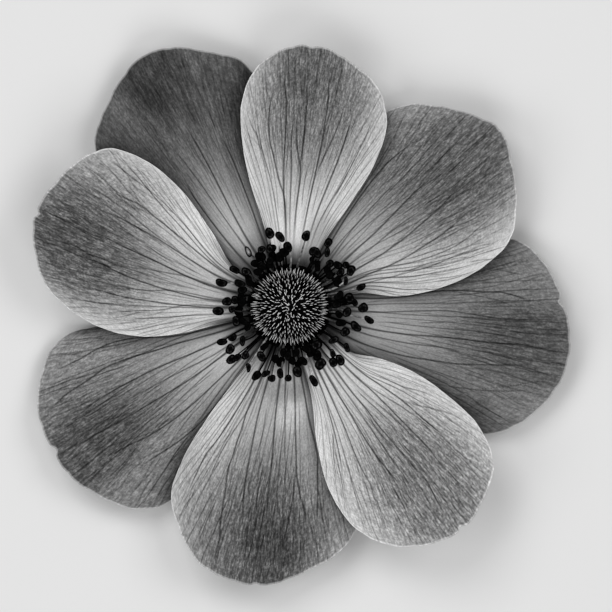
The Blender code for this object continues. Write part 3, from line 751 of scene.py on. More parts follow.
def ruled_vein(rule, share, draw):
    """A thin vein from a share across the claw, which strays a little on its way out."""
    start = draw.uniform(*rule["start"])
    if "run" in rule:
        end = min(start + draw.uniform(*rule["run"]), SHORT_END)
    else:
        end = draw.uniform(*rule["end"])
    knots = np.linspace(start, end, rule["places"])
    drift = share + np.cumsum(draw.uniform(-rule["stray"], rule["stray"], rule["places"]))
    return draw.uniform(*rule["dark"]), rule["half"], np.stack([spread(drift, knots), knots], axis=1)


def fine_veins(tepal, draw):
    """Thin veins between the ones that can be followed one by one, set by a rule."""
    veins = []
    for strength, places in tepal["veins"]:
        veins += branches(np.array(places), strength, draw)
    for rule in THIN_VEINS:
        for index in range(rule["count"]):
            share = (index + draw.uniform(*rule["play"])) / rule["count"]
            veins.append(ruled_vein(rule, share, draw))
    for index in range(SIDE_VEINS["count"]):
        for side in (-1, 1):
            inward = SIDE_PITCH * (index + draw.uniform(*SIDE_VEINS["play"]))
            veins.append(ruled_vein(SIDE_VEINS, 0.5 + side * (SIDE_FIRST - inward), draw))
    return veins


def all_veins(tepal, draw):
    """Every vein as how dark, half width and places; main ones run on down to the claw."""
    veins = []
    for strength, places in tepal["veins"]:
        places = np.array(places)
        if strength > 1 and places[0, 1] < MAIN_START:
            origin = gathered(places[:1, 0], places[:1, 1])[0]
            foot = [[spread(origin, MAIN_FOOT), MAIN_FOOT]]
            places = np.concatenate([foot, places])
        veins.append((VEIN_DARK[strength], VEIN_HALF[strength], places))
    for dark, half, places in fine_veins(tepal, draw):
        veins.append((tepal["fine"] * dark, half, places))
    return veins


def vein_shade(veins, foot, across, outward, wide, deep):
    """How dark the veins make each place, from 0 to 1. wide and deep are mm for one unit each way.
    foot is the share of their darkness that is left at the claw."""
    clear = np.ones_like(across)
    kept = foot + (1.0 - foot) * ease((outward - FOOT_START) / FOOT_OVER)
    for dark, half, places in veins:
        centre, slope = hermite(places[:, 1], places[:, 0], outward)
        slant = np.sqrt(1.0 + (slope * wide / deep) ** 2)
        away = np.abs(across - centre) * wide / slant
        blur = half * (1.0 + BASE_WIDER * (1.0 - ease(outward / BASE_END)))
        nearness = (away / blur) ** 2
        start, end = places[0, 1], places[-1, 1]
        fade = kept * ease((outward - start) / FADE_IN) * ease((end + FADE_PAST - outward) / FADE_OUT)
        clear *= 1.0 - dark * fade * (1.0 - nearness) * np.exp(-nearness)
    return 1.0 - clear


def overlap_shadow(tepal, plan):
    """Painted shadow on a blade where one above it passes close by."""
    nearest = np.full(len(plan), FAR)
    for other in TEPALS:
        if other["layer"] <= tepal["layer"]:
            continue
        line = margin_at(other, np.linspace(*OVERLAP_LINE))
        for part in np.array_split(np.arange(len(plan)), BATCHES):
            gap = np.hypot(plan[part, :1] - line[:, 0], plan[part, 1:] - line[:, 1]).min(axis=1)
            nearest[part] = np.minimum(nearest[part], gap)
    clear = np.ones(len(plan))
    free = ease((np.hypot(plan[:, 0], plan[:, 1]) - CLAW_SHADOW_END) / CLAW_SHADOW_OVER)
    for dark, dark_near, reach in OVERLAP_SHADOW_BANDS:
        clear *= 1.0 - (dark_near + (dark - dark_near) * free) * np.exp(-(nearest / reach) ** BAND_CURVE)
    return 1.0 - clear


def blade_shade(tepal, across, outward, reach):
    """Lightness of the blade, with painted shade and painted light in it, and how much its darker patches,
    partly painted shade, take away.
    """
    light = np.full_like(across, tepal["grey"])
    clear = np.ones_like(across)
    # The blade's own dark patches, with painted shade and painted light among them
    for s, t, half_width, half_length, darker in tepal["patches_and_painted_light"]:
        away = ((across - s) / half_width) ** 2 + ((outward - t) / half_length) ** 2
        amount = np.exp(-away ** 2)
        if darker < 0:
            light *= 1.0 - darker * amount
        else:
            clear *= 1.0 - darker * amount
    # Painted shade of the stamens over the inner part of the blade
    lit = ease((reach - SHADE_FROM) / (tepal["lit_from"] - SHADE_FROM))
    light *= SHADE_LEFT + (1.0 - SHADE_LEFT) * lit
    # Painted shade along the sides of the claw
    at_edge = 1.0 - ease(np.minimum(across, 1 - across) / CLAW_EDGE)
    near_claw = 1.0 - ease((outward - CLAW_EDGE_START[tepal["layer"]]) / CLAW_EDGE_OVER)
    light *= 1.0 - CLAW_EDGE_SHADOW[tepal["layer"]] * at_edge * near_claw
    return light, 1.0 - clear


def grid_index(columns, rows, first):
    """The numbers of a grid's points, counted from the first."""
    return first + np.arange(columns * rows).reshape(columns, rows)


def outline_of(index):
    """A grid's border in order: along the claw, up the far side, back along the tip and down."""
    return np.concatenate([index[:-1, 0], index[-1, :-1], index[:0:-1, -1], index[0, :0:-1]])


def cells(index):
    """The four corners of every cell of a grid."""
    return np.stack([index[:-1, :-1], index[1:, :-1], index[1:, 1:], index[:-1, 1:]], axis=-1).reshape(-1, 4)


def unit_sizes(tepal, across, outward):
    """Millimetres that one unit across and one unit outward make at each place."""
    low_s, high_s = np.clip(across - SHARE_STEP, 0, 1), np.clip(across + SHARE_STEP, 0, 1)
    low_t, high_t = np.clip(outward - SHARE_STEP, 0, 1), np.clip(outward + SHARE_STEP, 0, 1)
    wide = np.linalg.norm(fan(tepal, high_s, outward) - fan(tepal, low_s, outward), axis=-1)
    deep = np.linalg.norm(fan(tepal, across, high_t) - fan(tepal, across, low_t), axis=-1)
    return wide / (high_s - low_s), deep / (high_t - low_t)


def facing_at(tepal, x, y):
    """The way a tepal's middle surface faces over a place in plan."""
    slope_x = blade_height(tepal, x + SLOPE_STEP, y) - blade_height(tepal, x - SLOPE_STEP, y)
    slope_y = blade_height(tepal, x, y + SLOPE_STEP) - blade_height(tepal, x, y - SLOPE_STEP)
    facing = np.stack([-slope_x, -slope_y, np.full_like(x, 2.0 * SLOPE_STEP)], axis=-1)
    return facing / np.linalg.norm(facing, axis=-1)[..., None]


def crumpled(x, y):
    """Waves some 6 mm long that run into each other, from -1 to 1."""
    return np.sin(0.9 * x + 2 * np.sin(0.5 * y)) * np.sin(1.1 * y + 1.7)


def blade_points(tepal, across, outward, veins):
    """Middle surface places, facing directions, half thicknesses, the share of relief that fades out
    at the margin, and the values that the material reads."""
    plan = fan(tepal, across, outward)
    x, y = plan[..., 0], plan[..., 1]
    wide, deep = unit_sizes(tepal, across, outward)
    inside = ease(np.minimum(across, 1 - across) * wide / THIN_EDGE) * ease((1 - outward) * deep / THIN_EDGE)
    flow = gathered(across, outward)
    sway = PLEAT_SWAY * np.sin(PLEAT_BENDS * outward)
    pleat = PLEAT * np.sin(2 * math.pi * flow * FLOW_WIDE / PLEAT_PITCH + sway) * inside
    crinkle = CRINKLE * (1 - inside) * ease((outward - CRINKLE_FROM) / CRINKLE_OVER) * crumpled(x, y)
    middle = np.stack([x, y, blade_height(tepal, x, y) + pleat + crinkle], axis=-1)
    half = HALF_THIN + (HALF_THICK - HALF_THIN) * inside
    light, patch_and_shade = blade_shade(tepal, across, outward, np.hypot(x, y))
    # Painted shadow where a blade above passes close by
    light *= 1.0 - overlap_shadow(tepal, plan)
    grain = tepal["grain"] * (GRAIN_LOW + (1.0 - GRAIN_LOW) * ease((outward - GRAIN_FROM) / GRAIN_OVER))
    values = {
        "vein": vein_shade(veins, tepal["foot"], across, outward, wide, deep),
        "light": light,
        "patch_and_shade": patch_and_shade,
        "grain": grain,
        "flow": np.stack([FLOW_WIDE * flow, FLOW_DEEP * outward, np.full_like(x, tepal["aim"])], axis=-1),
    }
    return middle, facing_at(tepal, x, y), half, inside, values


def new_mesh(name, points, faces, layout, values):
    """A smooth mesh object in the row frame, with its bake layout and the values its material reads."""
    placed = (points + np.array([AXIS_X, AXIS_Y, 0.0])) * MM
    mesh = bpy.data.meshes.new(name)
    mesh.from_pydata(placed.tolist(), [], faces)
    mesh.uv_layers.new(name="OFBake")
    mesh.uv_layers["OFBake"].data.foreach_set("uv", np.asarray(layout, dtype=np.float32).ravel())
    for key, value in values.items():
        kind, field = ("FLOAT", "value") if value.ndim == 1 else ("FLOAT_VECTOR", "vector")
        mesh.attributes.new(key, kind, "POINT").data.foreach_set(field, value.astype(np.float32).ravel())
    mesh.polygons.foreach_set("use_smooth", [True] * len(mesh.polygons))
    mesh.update()
    made = bpy.data.objects.new(name, mesh)
    bpy.context.scene.collection.objects.link(made)
    return made


def outside_of(edge):
    """The way out of a closed line at each of its points."""
    run = np.roll(edge, -1, axis=0) - np.roll(edge, 1, axis=0)
    outside = np.stack([run[:, 1], -run[:, 0]], axis=1)
    return outside / np.maximum(np.linalg.norm(outside, axis=1), 1e-6)[:, None]


def rim_bands(border, rim, under_border):
    """Faces of the rim: quads down from the upper border, then triangles on to the lower one, which
    has half as many points."""
    count = len(border)
    there = (np.arange(count) + 1) % count
    even = np.arange(0, count, 2)
    odd, after = even + 1, (even + 2) % count
    low_here, low_there = under_border[even // 2], under_border[after // 2]
    quads = np.stack([border, rim, rim[there], border[there]], axis=-1)
    triangles = np.stack([rim[even], low_here, rim[odd],
                          rim[odd], low_here, low_there,
                          rim[odd], low_there, rim[after]], axis=-1)
    return quads, triangles.reshape(-1, 3)


def corner_places(*corners):
    """Layout places from each corner's (places along the rim, height in the layout), face by face."""
    places = [np.stack(np.broadcast_arrays(along, height), axis=-1) for along, height in corners]
    return np.stack(places, axis=1).reshape(-1, 2)


def rim_layout(count):
    """Layout places for the corners of the rim's quads and triangles."""
    along = np.arange(count + 1) / count * (1.0 - 2 * LAYOUT_EDGE) + LAYOUT_EDGE
    here, there = along[:-1], along[1:]
    high, low = UPPER_BAND
    quads = corner_places((here, high), (here, low), (there, low), (there, high))
    even, odd, after = along[:-1:2], along[1::2], along[2::2]
    high, low = LOWER_BAND
    triangles = corner_places((even, high), (even, low), (odd, high),
                              (odd, high), (even, low), (after, low),
                              (odd, high), (after, low), (after, high))
    return [quads, triangles]


def make_tepal(tepal, draw):
    """One blade: a fine upper face, an under face half as fine, and a rounded rim between them."""
    rows = np.linspace(0.0, 1.0, ROWS + 1)
    rows = rows * (1.0 + ROWS_CROWD - ROWS_CROWD * rows)
    grids = np.meshgrid(np.linspace(0.0, 1.0, COLUMNS + 1), rows, indexing="ij")
    upper = grid_index(COLUMNS + 1, ROWS + 1, 0)
    lower = grid_index(COLUMNS // 2 + 1, ROWS // 2 + 1, upper.size)
    border = outline_of(upper)
    rim = np.arange(len(border)) + upper.size + lower.size
    across, outward = (np.concatenate([grid.ravel(), grid[::2, ::2].ravel(), grid.ravel()[border]])
                       for grid in grids)
    middle, facing, half, inside, values = blade_points(tepal, across, outward, all_veins(tepal, draw))
    side = np.concatenate([np.ones(upper.size), -np.ones(lower.size), np.zeros(len(border))])
    sink = VEIN_SINK * values["vein"] * inside * np.where(side > 0, 1.0, SINK_UNDER)
    points = middle + facing * (side * half - sink)[:, None]
    points[rim, :2] += RIM_OUT * outside_of(points[border][:, :2])
    # A painted highlight along the rim, growing outward from near the claw
    pale = ease((outward - RIM_FROM) / RIM_OVER)
    values["rim"] = np.zeros(len(points))
    values["rim"][rim] = pale[rim]
    values["rim"][border] = pale[border]

    upper_cells, lower_cells = cells(upper), cells(lower)[:, ::-1]
    bands = rim_bands(border, rim, outline_of(lower))
    faces = [face for part in (upper_cells, lower_cells, *bands) for face in part.tolist()]
    u = np.where(side > 0, LAYOUT_EDGE, LAYOUT_RIGHT) + LAYOUT_HALF * across
    flat = np.stack([u, LAYOUT_LOW + LAYOUT_TALL * outward], axis=-1)
    sides = [flat[part].reshape(-1, 2) for part in (upper_cells, lower_cells)]
    layout = np.concatenate(sides + rim_layout(len(border)))
    name = tepal["name"] + "_fine"
    made = new_mesh(name, points, faces, layout, values)
    made.data.materials.append(petal_material(name))
    settle(made, tepal["name"])


def settle(made, node):
    """The piece is attached to the root and stands for its solid, which is hidden."""
    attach(made, "root")
    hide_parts(node)


class Signal:
    """A value in a material's node tree that adds, subtracts and multiplies like a number."""

    def __init__(self, nodes, socket):
        self.nodes = nodes
        self.socket = socket

    def __add__(self, other):
        return self.nodes.math("ADD", self, other)

    def __sub__(self, other):
        return self.nodes.math("SUBTRACT", self, other)

    def __rsub__(self, other):
        return self.nodes.math("SUBTRACT", other, self)

    def __mul__(self, other):
        return self.nodes.math("MULTIPLY", self, other)


class Nodes:
    """A material's node tree with short ways to add to it."""

    def __init__(self, name):
        self.material = bpy.data.materials.new(name)
        self.material.use_nodes = True
        self.tree = self.material.node_tree
        self.shader = self.tree.nodes["Principled BSDF"]

    def feed(self, socket, given):
        """Link a signal to an input, or set the input to a constant."""
        if isinstance(given, Signal):
            self.tree.links.new(given.socket, socket)
        else:
            socket.default_value = given

    def node(self, kind, inputs, output):
        """A new node with these inputs, and the signal from one of its outputs."""
        made = self.tree.nodes.new("ShaderNode" + kind)
        for name, given in inputs.items():
            self.feed(made.inputs[name], given)
        return Signal(self, made.outputs[output])

    def stored(self, name, output="Fac"):
        """A number stored on the mesh, or a place with the output Vector."""
        made = self.tree.nodes.new("ShaderNodeAttribute")
        made.attribute_name = name
        return Signal(self, made.outputs[output])

    def noise(self, place, scale, shift, detail, rough, twist=0.0):
        """A noise over places that are scaled along each way and then shifted."""
        moved = self.node("Mapping", {"Vector": place, "Scale": scale, "Location": (shift,) * 3}, "Vector")
        return self.node("TexNoise", {"Vector": moved, "Scale": 1.0, "Detail": detail,
                                      "Roughness": rough, "Distortion": twist}, "Fac")

    def flow_noise(self, scale, shift, detail, rough=0.6, twist=0.0):
        """A crisp noise along the veins; scale is its fineness per mm across and along them."""
        place = self.stored("flow", "Vector")
        return self.crisp(self.noise(place, (*scale, 1.0), shift, detail, rough, twist))

    def solid_noise(self, scale, detail, rough):
        """A noise through the whole piece; scale is its fineness per mm, alike or along each way."""
        place = self.node("TexCoord", {}, "Object")
        return self.noise(place, (np.broadcast_to(scale, 3) / MM).tolist(), 0.0, detail, rough)

    def math(self, operation, first, second, clamp=False):
        made = self.tree.nodes.new("ShaderNodeMath")
        made.operation = operation
        made.use_clamp = clamp
        self.feed(made.inputs[0], first)
        self.feed(made.inputs[1], second)
        return Signal(self, made.outputs["Value"])

    def about_one(self, noise, gain):
        """A noise turned into a factor round 1."""
        return (noise - 0.5) * gain + 1.0

    def without(self, share):
        """What a share leaves of 1."""
        return self.math("SUBTRACT", 1.0, share, clamp=True)

    def between(self, noise, low, high):
        """A noise stretched to run from 0 at one value to 1 at another."""
        return self.node("MapRange", {"Value": noise, "From Min": low, "From Max": high}, "Result")

    def crisp(self, noise):
        """A noise stretched over the middle of its range."""
        return self.between(noise, *CRISP)

    def bump(self, height, distance):
        """Relief this many mm high."""
        normal = self.node("Bump", {"Height": height, "Distance": distance * MM, "Strength": 1.0}, "Normal")
        self.feed(self.shader.inputs["Normal"], normal)

    def surface(self, brightness, roughness, specular):
        """A grey surface."""
        grey = self.node("CombineColor", dict.fromkeys(("Red", "Green", "Blue"), brightness), "Color")
        self.feed(self.shader.inputs["Base Color"], grey)
        self.feed(self.shader.inputs["Roughness"], roughness)
        self.feed(self.shader.inputs["Specular IOR Level"], specular)


def petal_material(name):
    """Velvety blade: streaked along the veins, ragged patches, dark veins and a painted highlight along the
    rim.
    """
    nodes = Nodes(name)
    fibre = nodes.flow_noise((2.8, 0.32), 0.0, detail=2.0)
    streak = nodes.flow_noise((1.2, 0.17), 31.0, detail=3.0)
    cloud = nodes.flow_noise((0.45, 0.18), 57.0, detail=3.0)
    thread = nodes.flow_noise((6.0, 0.7), 83.0, detail=2.0, twist=0.2)
    crumb = nodes.flow_noise((5.6, 2.6), 19.0, detail=2.0, rough=0.7, twist=0.5)
    grain = (thread * THREAD_SHARE + crumb * (1.0 - THREAD_SHARE) - 0.5) * nodes.stored("grain")
    light = nodes.stored("light")
    for noise, gain in ((fibre, FIBRE_GAIN), (streak, STREAK_GAIN), (cloud, CLOUD_GAIN), (crumb, CRUMB_GAIN)):
        light = light * nodes.about_one(noise, gain)
    light = light * (grain * GRAIN_GAIN + 1.0)
    torn = (fibre + streak + cloud) * TORN_NOISE + (TORN_BASE - grain * TORN_GRAIN)
    light = light * nodes.math("POWER", nodes.without(nodes.stored("patch_and_shade")), torn)
    light = light * nodes.without(nodes.stored("vein") * (VEIN_FULL - grain * VEIN_GRAIN))
    nodes.surface(light + nodes.stored("rim") * RIM_HIGHLIGHT, streak * 0.1 + 0.5, 0.08)
    nodes.bump(fibre * 0.6 + grain * 0.4, 0.012)
    return nodes.material


def times(vectors, shares):
    """Each of (count, 3) vectors times each share of a line, as (count, rings, 3)."""
    return vectors[:, None, :] * shares[None, :, None]


def bowed(along):
    """0 at both ends of a line and 1 in its middle."""
    return 4 * along * (1 - along)


def tubes(paths, radii, sides, flatten=None):
    """Many tubes of one make: paths is (count, rings, 3) and radii (count, rings).
    flatten gives (count, 3) axes across each tube and the share its thickness is of its width."""
    count, rings, _ = paths.shape
    heading = np.gradient(paths, axis=1)
    heading /= np.linalg.norm(heading, axis=-1)[..., None]
    if flatten is None:
        upright = np.abs(heading[:, :1, 2:]) > 0.9
        helper = np.where(upright, np.array([1.0, 0.0, 0.0]), np.array([0.0, 0.0, 1.0]))
        share = 1.0
    else:
        helper, share = flatten[0][:, None, :], flatten[1]
    side = np.cross(heading, np.broadcast_to(helper, heading.shape))
    side /= np.linalg.norm(side, axis=-1)[..., None]
    up = np.cross(side, heading)
    turn = 2 * math.pi * np.arange(sides) / sides
    ring = np.cos(turn)[:, None] * side[:, :, None, :] + share * np.sin(turn)[:, None] * up[:, :, None, :]
    return paths[:, :, None, :] + radii[:, :, None, None] * ring


class Gather:
    """Grids closed round one way, gathered into one mesh, each in its own cell of the bake layout."""

    def __init__(self, pieces):
        self.cells_across = math.ceil(math.sqrt(pieces))
        self.points = []
        self.faces = []
        self.layout = []
        self.values = {}
        self.used = 0
        self.total = 0

    def add(self, grids, values, caps=True):
        """grids is (count, rings, sides, 3). values holds what the material reads: single numbers, or
        arrays that fit (count, rings) or (count, rings, sides)."""
        count, rings, sides, _ = grids.shape
        index = self.total + np.arange(count * rings * sides).reshape(count, rings, sides)
        turned = np.concatenate([index, index[:, :, :1]], axis=2)
        quads = np.stack([turned[:, :-1, :-1], turned[:, :-1, 1:], turned[:, 1:, 1:], turned[:, 1:, :-1]],
                         axis=-1)
        cell = self.used + np.arange(count)
        size = 1.0 / self.cells_across
        corner_u = (cell % self.cells_across) * size
        corner_v = (cell // self.cells_across) * size
        span = 1.0 - 2 * CELL_EDGE
        round_it = CELL_EDGE + span * np.arange(sides + 1) / sides
        along_it = CELL_EDGE + span * np.arange(rings) / (rings - 1)
        u = corner_u[:, None, None] + size * round_it[None, None, :]
        v = corner_v[:, None, None] + size * along_it[None, :, None]
        place = np.stack(np.broadcast_arrays(u, v), axis=-1)
        corners = np.stack([place[:, :-1, :-1], place[:, :-1, 1:], place[:, 1:, 1:], place[:, 1:, :-1]],
                           axis=3)
        self.faces += quads.reshape(-1, 4).tolist()
        self.layout.append(corners.reshape(-1, 2))
        if caps:
            self.faces += index[:, 0, ::-1].tolist() + index[:, -1].tolist()
            self.layout.append(place[:, 0, -2::-1].reshape(-1, 2))
            self.layout.append(place[:, -1, :-1].reshape(-1, 2))
        self.points.append(grids.reshape(-1, 3))
        for key, value in values.items():
            value = np.asarray(value)
            value = value if value.ndim == 3 else np.broadcast_to(value, (count, rings))[:, :, None]
            self.values.setdefault(key, []).append(np.broadcast_to(value, (count, rings, sides)).ravel())
        self.used += count
        self.total += count * rings * sides

    def mesh(self, name):
        values = {key: np.concatenate(parts) for key, parts in self.values.items()}
        return new_mesh(name, np.concatenate(self.points), self.faces, np.concatenate(self.layout), values)


def revolved(profile, sides, wobble=0.0, ribs=0):
    """A grid from a (radius, height) profile turned round the axis, lightly ribbed."""
    radius, height = np.array(profile).T
    turn = 2 * math.pi * np.arange(sides) / sides
    ribbed = radius[:, None] + wobble * np.cos(ribs * turn)[None, :] * ease(radius / RIB_REACH)[:, None]
    heights = np.broadcast_to(height[:, None], ribbed.shape)
    return np.stack([ribbed * np.cos(turn), ribbed * np.sin(turn), heights], axis=-1)[None]


def rounded(corners, steps):
    """A profile with points added evenly along each of its legs."""
    corners = np.array(corners)
    legs = []
    for start, end in zip(corners[:-1], corners[1:]):
        legs.append(start + (end - start) * np.arange(steps)[:, None] / steps)
    return np.concatenate(legs + [corners[-1:]])


def stamen_heads(draw):
    """Every anther's turn, reach, axis, length, width and how far it stands below the top ones."""
    heads = [(*anther, 0.0) for anther in ANTHERS]
    for start, end, count, furthest in LOW_SECTORS:
        for index in range(count):
            turn = start + (end - start) * (index + draw.uniform(*LOW_PLAY)) / count
            reach = draw.uniform(LOW_NEAREST, furthest)
            axis = turn + draw.uniform(-LOW_TURNED, LOW_TURNED)
            shape = [draw.uniform(*limits) for limits in (LOW_LENGTH, LOW_WIDTH, LOW_DROP)]
            heads.append((turn, reach, axis, *shape))
    return np.array(heads)


def make_stamens():
    """The collar with every filament and anther on it."""
    draw = np.random.default_rng(STAMEN_SEED)
    heads = stamen_heads(draw)
    count = len(heads)
    turn, reach, axis = np.radians(heads[:, 0]), heads[:, 1], np.radians(heads[:, 2])
    out = np.stack([np.cos(turn), np.sin(turn), np.zeros(count)], axis=1)
    sideways = np.stack([-np.sin(turn), np.cos(turn), np.zeros(count)], axis=1)
    root = out * draw.uniform(*ROOT_REACH, count)[:, None]
    root += sideways * draw.uniform(-ROOT_ASIDE, ROOT_ASIDE, count)[:, None]
    root[:, 2] = COLLAR_TOP - ROOT_SUNK
    head = out * reach[:, None]
    head[:, 2] = ANTHER_HIGH - ANTHER_FALL * (reach - ANTHER_FALL_FROM) - heads[:, 5]
    head[:, 2] += draw.uniform(-ANTHER_PLAY, ANTHER_PLAY, count)
    tilt = draw.uniform(*ANTHER_TILT, count)
    heading = np.stack([np.cos(axis) * np.cos(tilt), np.sin(axis) * np.cos(tilt), np.sin(tilt)], axis=1)
    bunch = Gather(2 * count + 1)
    add_filaments(bunch, heads, root, head, sideways, draw)
    add_anthers(bunch, heads, head, heading, draw)
    section = [(COLLAR_IN, COLLAR_LOW), (COLLAR_OUT - COLLAR_BEVEL, COLLAR_LOW),
               (COLLAR_OUT, COLLAR_LOW + COLLAR_STEP), (COLLAR_OUT - COLLAR_BEVEL, COLLAR_TOP),
               (COLLAR_IN, COLLAR_TOP), (COLLAR_IN, COLLAR_LOW)]
    collar = revolved(rounded(section, LEG_STEPS), COLLAR_SIDES, RIB, COLLAR_RIBS)
    bunch.add(collar, {"tone": 0.0008, "seam": 0.0}, caps=False)
    made = bunch.mesh("stamens_fine")
    made.data.materials.append(stamen_material())
    settle(made, "stamens")


def add_filaments(bunch, heads, root, head, sideways, draw):
    """Thin bowed threads from the collar up to the anthers, most of them dark."""
    count = len(heads)
    along = np.linspace(0.0, 1.0, FILAMENT_RINGS)
    bow = sideways * draw.uniform(-FILAMENT_BOW, FILAMENT_BOW, count)[:, None]
    bow[:, 2] = FILAMENT_RISE * (head[:, 2] - root[:, 2])
    paths = root[:, None, :] + times(head - root, along) + times(bow, bowed(along))
    taper = FILAMENT_FOOT - FILAMENT_TAPER * along ** 0.7
    radii = taper[None, :] * draw.uniform(*GIRTH_PLAY, count)[:, None]
    greyer = draw.uniform(0, 1, count) < GREY_SHARE
    grey = draw.uniform(*FILAMENT_GREY, count)
    tone = np.where(greyer, grey, draw.uniform(*FILAMENT_DARK, count))
    for turn, brightness in PALE_FILAMENTS.items():
        tone[heads[:, 0] == turn] = brightness
    bunch.add(tubes(paths, radii, FILAMENT_SIDES), {"tone": tone[:, None], "seam": 0.0})


def add_anthers(bunch, heads, head, heading, draw):
    """Furrowed and lumpy anthers, each a little curved, with a seam round it where it opens."""
    count = len(heads)
    length, width, drop = ANTHER_PLUMP * heads[:, 3], ANTHER_PLUMP * heads[:, 4], heads[:, 5]
    stations = np.linspace(-1.0, 1.0, ANTHER_RINGS)
    shape = np.sqrt(np.clip(1.0 - np.abs(stations) ** ANTHER_BLUNT, 0.0, 1.0))
    shape = shape * (1.0 - ANTHER_END) + ANTHER_END
    paths = head[:, None, :] + times(heading * 0.5 * length[:, None], stations)
    radii = 0.5 * width[:, None] * shape[None, :]
    upward = np.cross(np.cross(heading, np.array([0.0, 0.0, 1.0])), heading)
    grids = tubes(paths, radii, ANTHER_SIDES, (upward, ANTHER_FLAT))
    turn = 2 * math.pi * np.arange(ANTHER_SIDES) / ANTHER_SIDES
    furrow = 1.0 - FURROW * np.exp(-(np.cos(turn) / FURROW_WIDE) ** 2)
    start = draw.uniform(0, LUMP_START, (count, 1, 1))
    lump = np.sin(2 * turn + start + LUMP_TWIST * stations[None, :, None])
    lump = 1.0 + ANTHER_LUMP * draw.uniform(*LUMP_PLAY, (count, 1, 1)) * lump
    centre = paths[:, :, None, :]
    grids = centre + (grids - centre) * (furrow[None, None, :] * lump)[..., None]
    arch = draw.uniform(-ANTHER_ARCH, ANTHER_ARCH, count)[:, None] * np.cross(heading, upward)
    grids = grids + times(arch, 1.0 - stations ** 2)[:, :, None, :]
    plan_out = np.hypot(stations[:, None], (shape[:, None] * np.cos(turn)[None, :]))
    tone = draw.uniform(*ANTHER_TONE, count)[:, None, None] * np.ones((1, *plan_out.shape))
    tone[heads[:, 0] == PALE_ANTHER] = np.interp(plan_out, *PALE_ANTHER_ZONES)
    seam = np.exp(-((plan_out - SEAM_OUT) / SEAM_WIDE) ** 2) * (np.sin(turn) > SEAM_SIDE)[None, :]
    # Seams of the stamens below are dimmed as painted shade
    high = np.where(drop > 0.0, SEAM_IN_SHADE, 1.0) * draw.uniform(*SEAM_PLAY, count)
    bunch.add(grids, {"tone": tone, "seam": seam[None] * high[:, None, None]})


def stamen_material():
    """Near-black satin, with paler broken seams where the anthers open."""
    nodes = Nodes("stamens_fine")
    grains = nodes.solid_noise(6.0, detail=3.0, rough=0.7)
    mottle = nodes.solid_noise(1.6, detail=2.0, rough=0.5)
    torn = nodes.crisp(nodes.solid_noise(1.8, detail=2.0, rough=0.5))
    dust = nodes.between(grains, 0.30, 0.56) * nodes.stored("seam") * (torn * 0.9 + 0.1)
    tone = nodes.stored("tone") * (nodes.crisp(mottle) + 0.4)
    tone = tone + nodes.between(grains, 0.50, 0.75) * 0.002 + dust * 0.08
    nodes.surface(tone, grains * 0.3 + 0.35, 0.008)
    nodes.bump(grains, 0.05)
    return nodes.material


def needle_rows(draw):
    """Each style's turn, its foot out (1 at the rim) and up on the dome, the way it points out and up,
    its length, the brightness of its tip and the share of it that is dark."""
    index = np.arange(NEEDLES)
    out = NEEDLE_REACH * ((index + 0.5) / NEEDLES) ** NEEDLE_CROWD
    out = np.clip(out + draw.uniform(-OUT_PLAY, OUT_PLAY, NEEDLES), 0.0, 1.0)
    turn = GOLDEN_ANGLE * index + draw.uniform(-TURN_PLAY, TURN_PLAY, NEEDLES)
    outward = out ** NEEDLE_SPLAY
    level = np.interp(out, LEVEL_OUT, LEVEL_SIZE) * draw.uniform(*LEVEL_PLAY, NEEDLES)
    low = np.arange(LOW_NEEDLES)
    low_turn = GOLDEN_ANGLE * low + draw.uniform(-LOW_NEEDLE_TURN, LOW_NEEDLE_TURN, LOW_NEEDLES)
    fall = LOW_NEEDLE_FALL * (low + 0.5) / LOW_NEEDLES
    even = np.ones(LOW_NEEDLES)
    pairs = {
        "turn": (turn, low_turn),
        "foot_out": (out, np.sqrt(1 - fall ** 2)),
        "foot_up": (np.sqrt(1 - out ** 2), -fall),
        "outward": (outward, even),
        "upward": (np.sqrt(1 - outward ** 2), LOW_NEEDLE_RISE - fall),
        "length": (np.full(NEEDLES, NEEDLE_LENGTH), LOW_NEEDLE_LENGTH * NEEDLE_LENGTH * even),
        # The low styles' tips are kept dark as painted shade
        "level": (level, draw.uniform(*LOW_NEEDLE_SHADED_TONE, LOW_NEEDLES)),
        "bare": (np.interp(out, LEVEL_OUT, BARE_SIZE), LOW_NEEDLE_BARE * even),
    }
    return {key: np.concatenate(pair) for key, pair in pairs.items()}


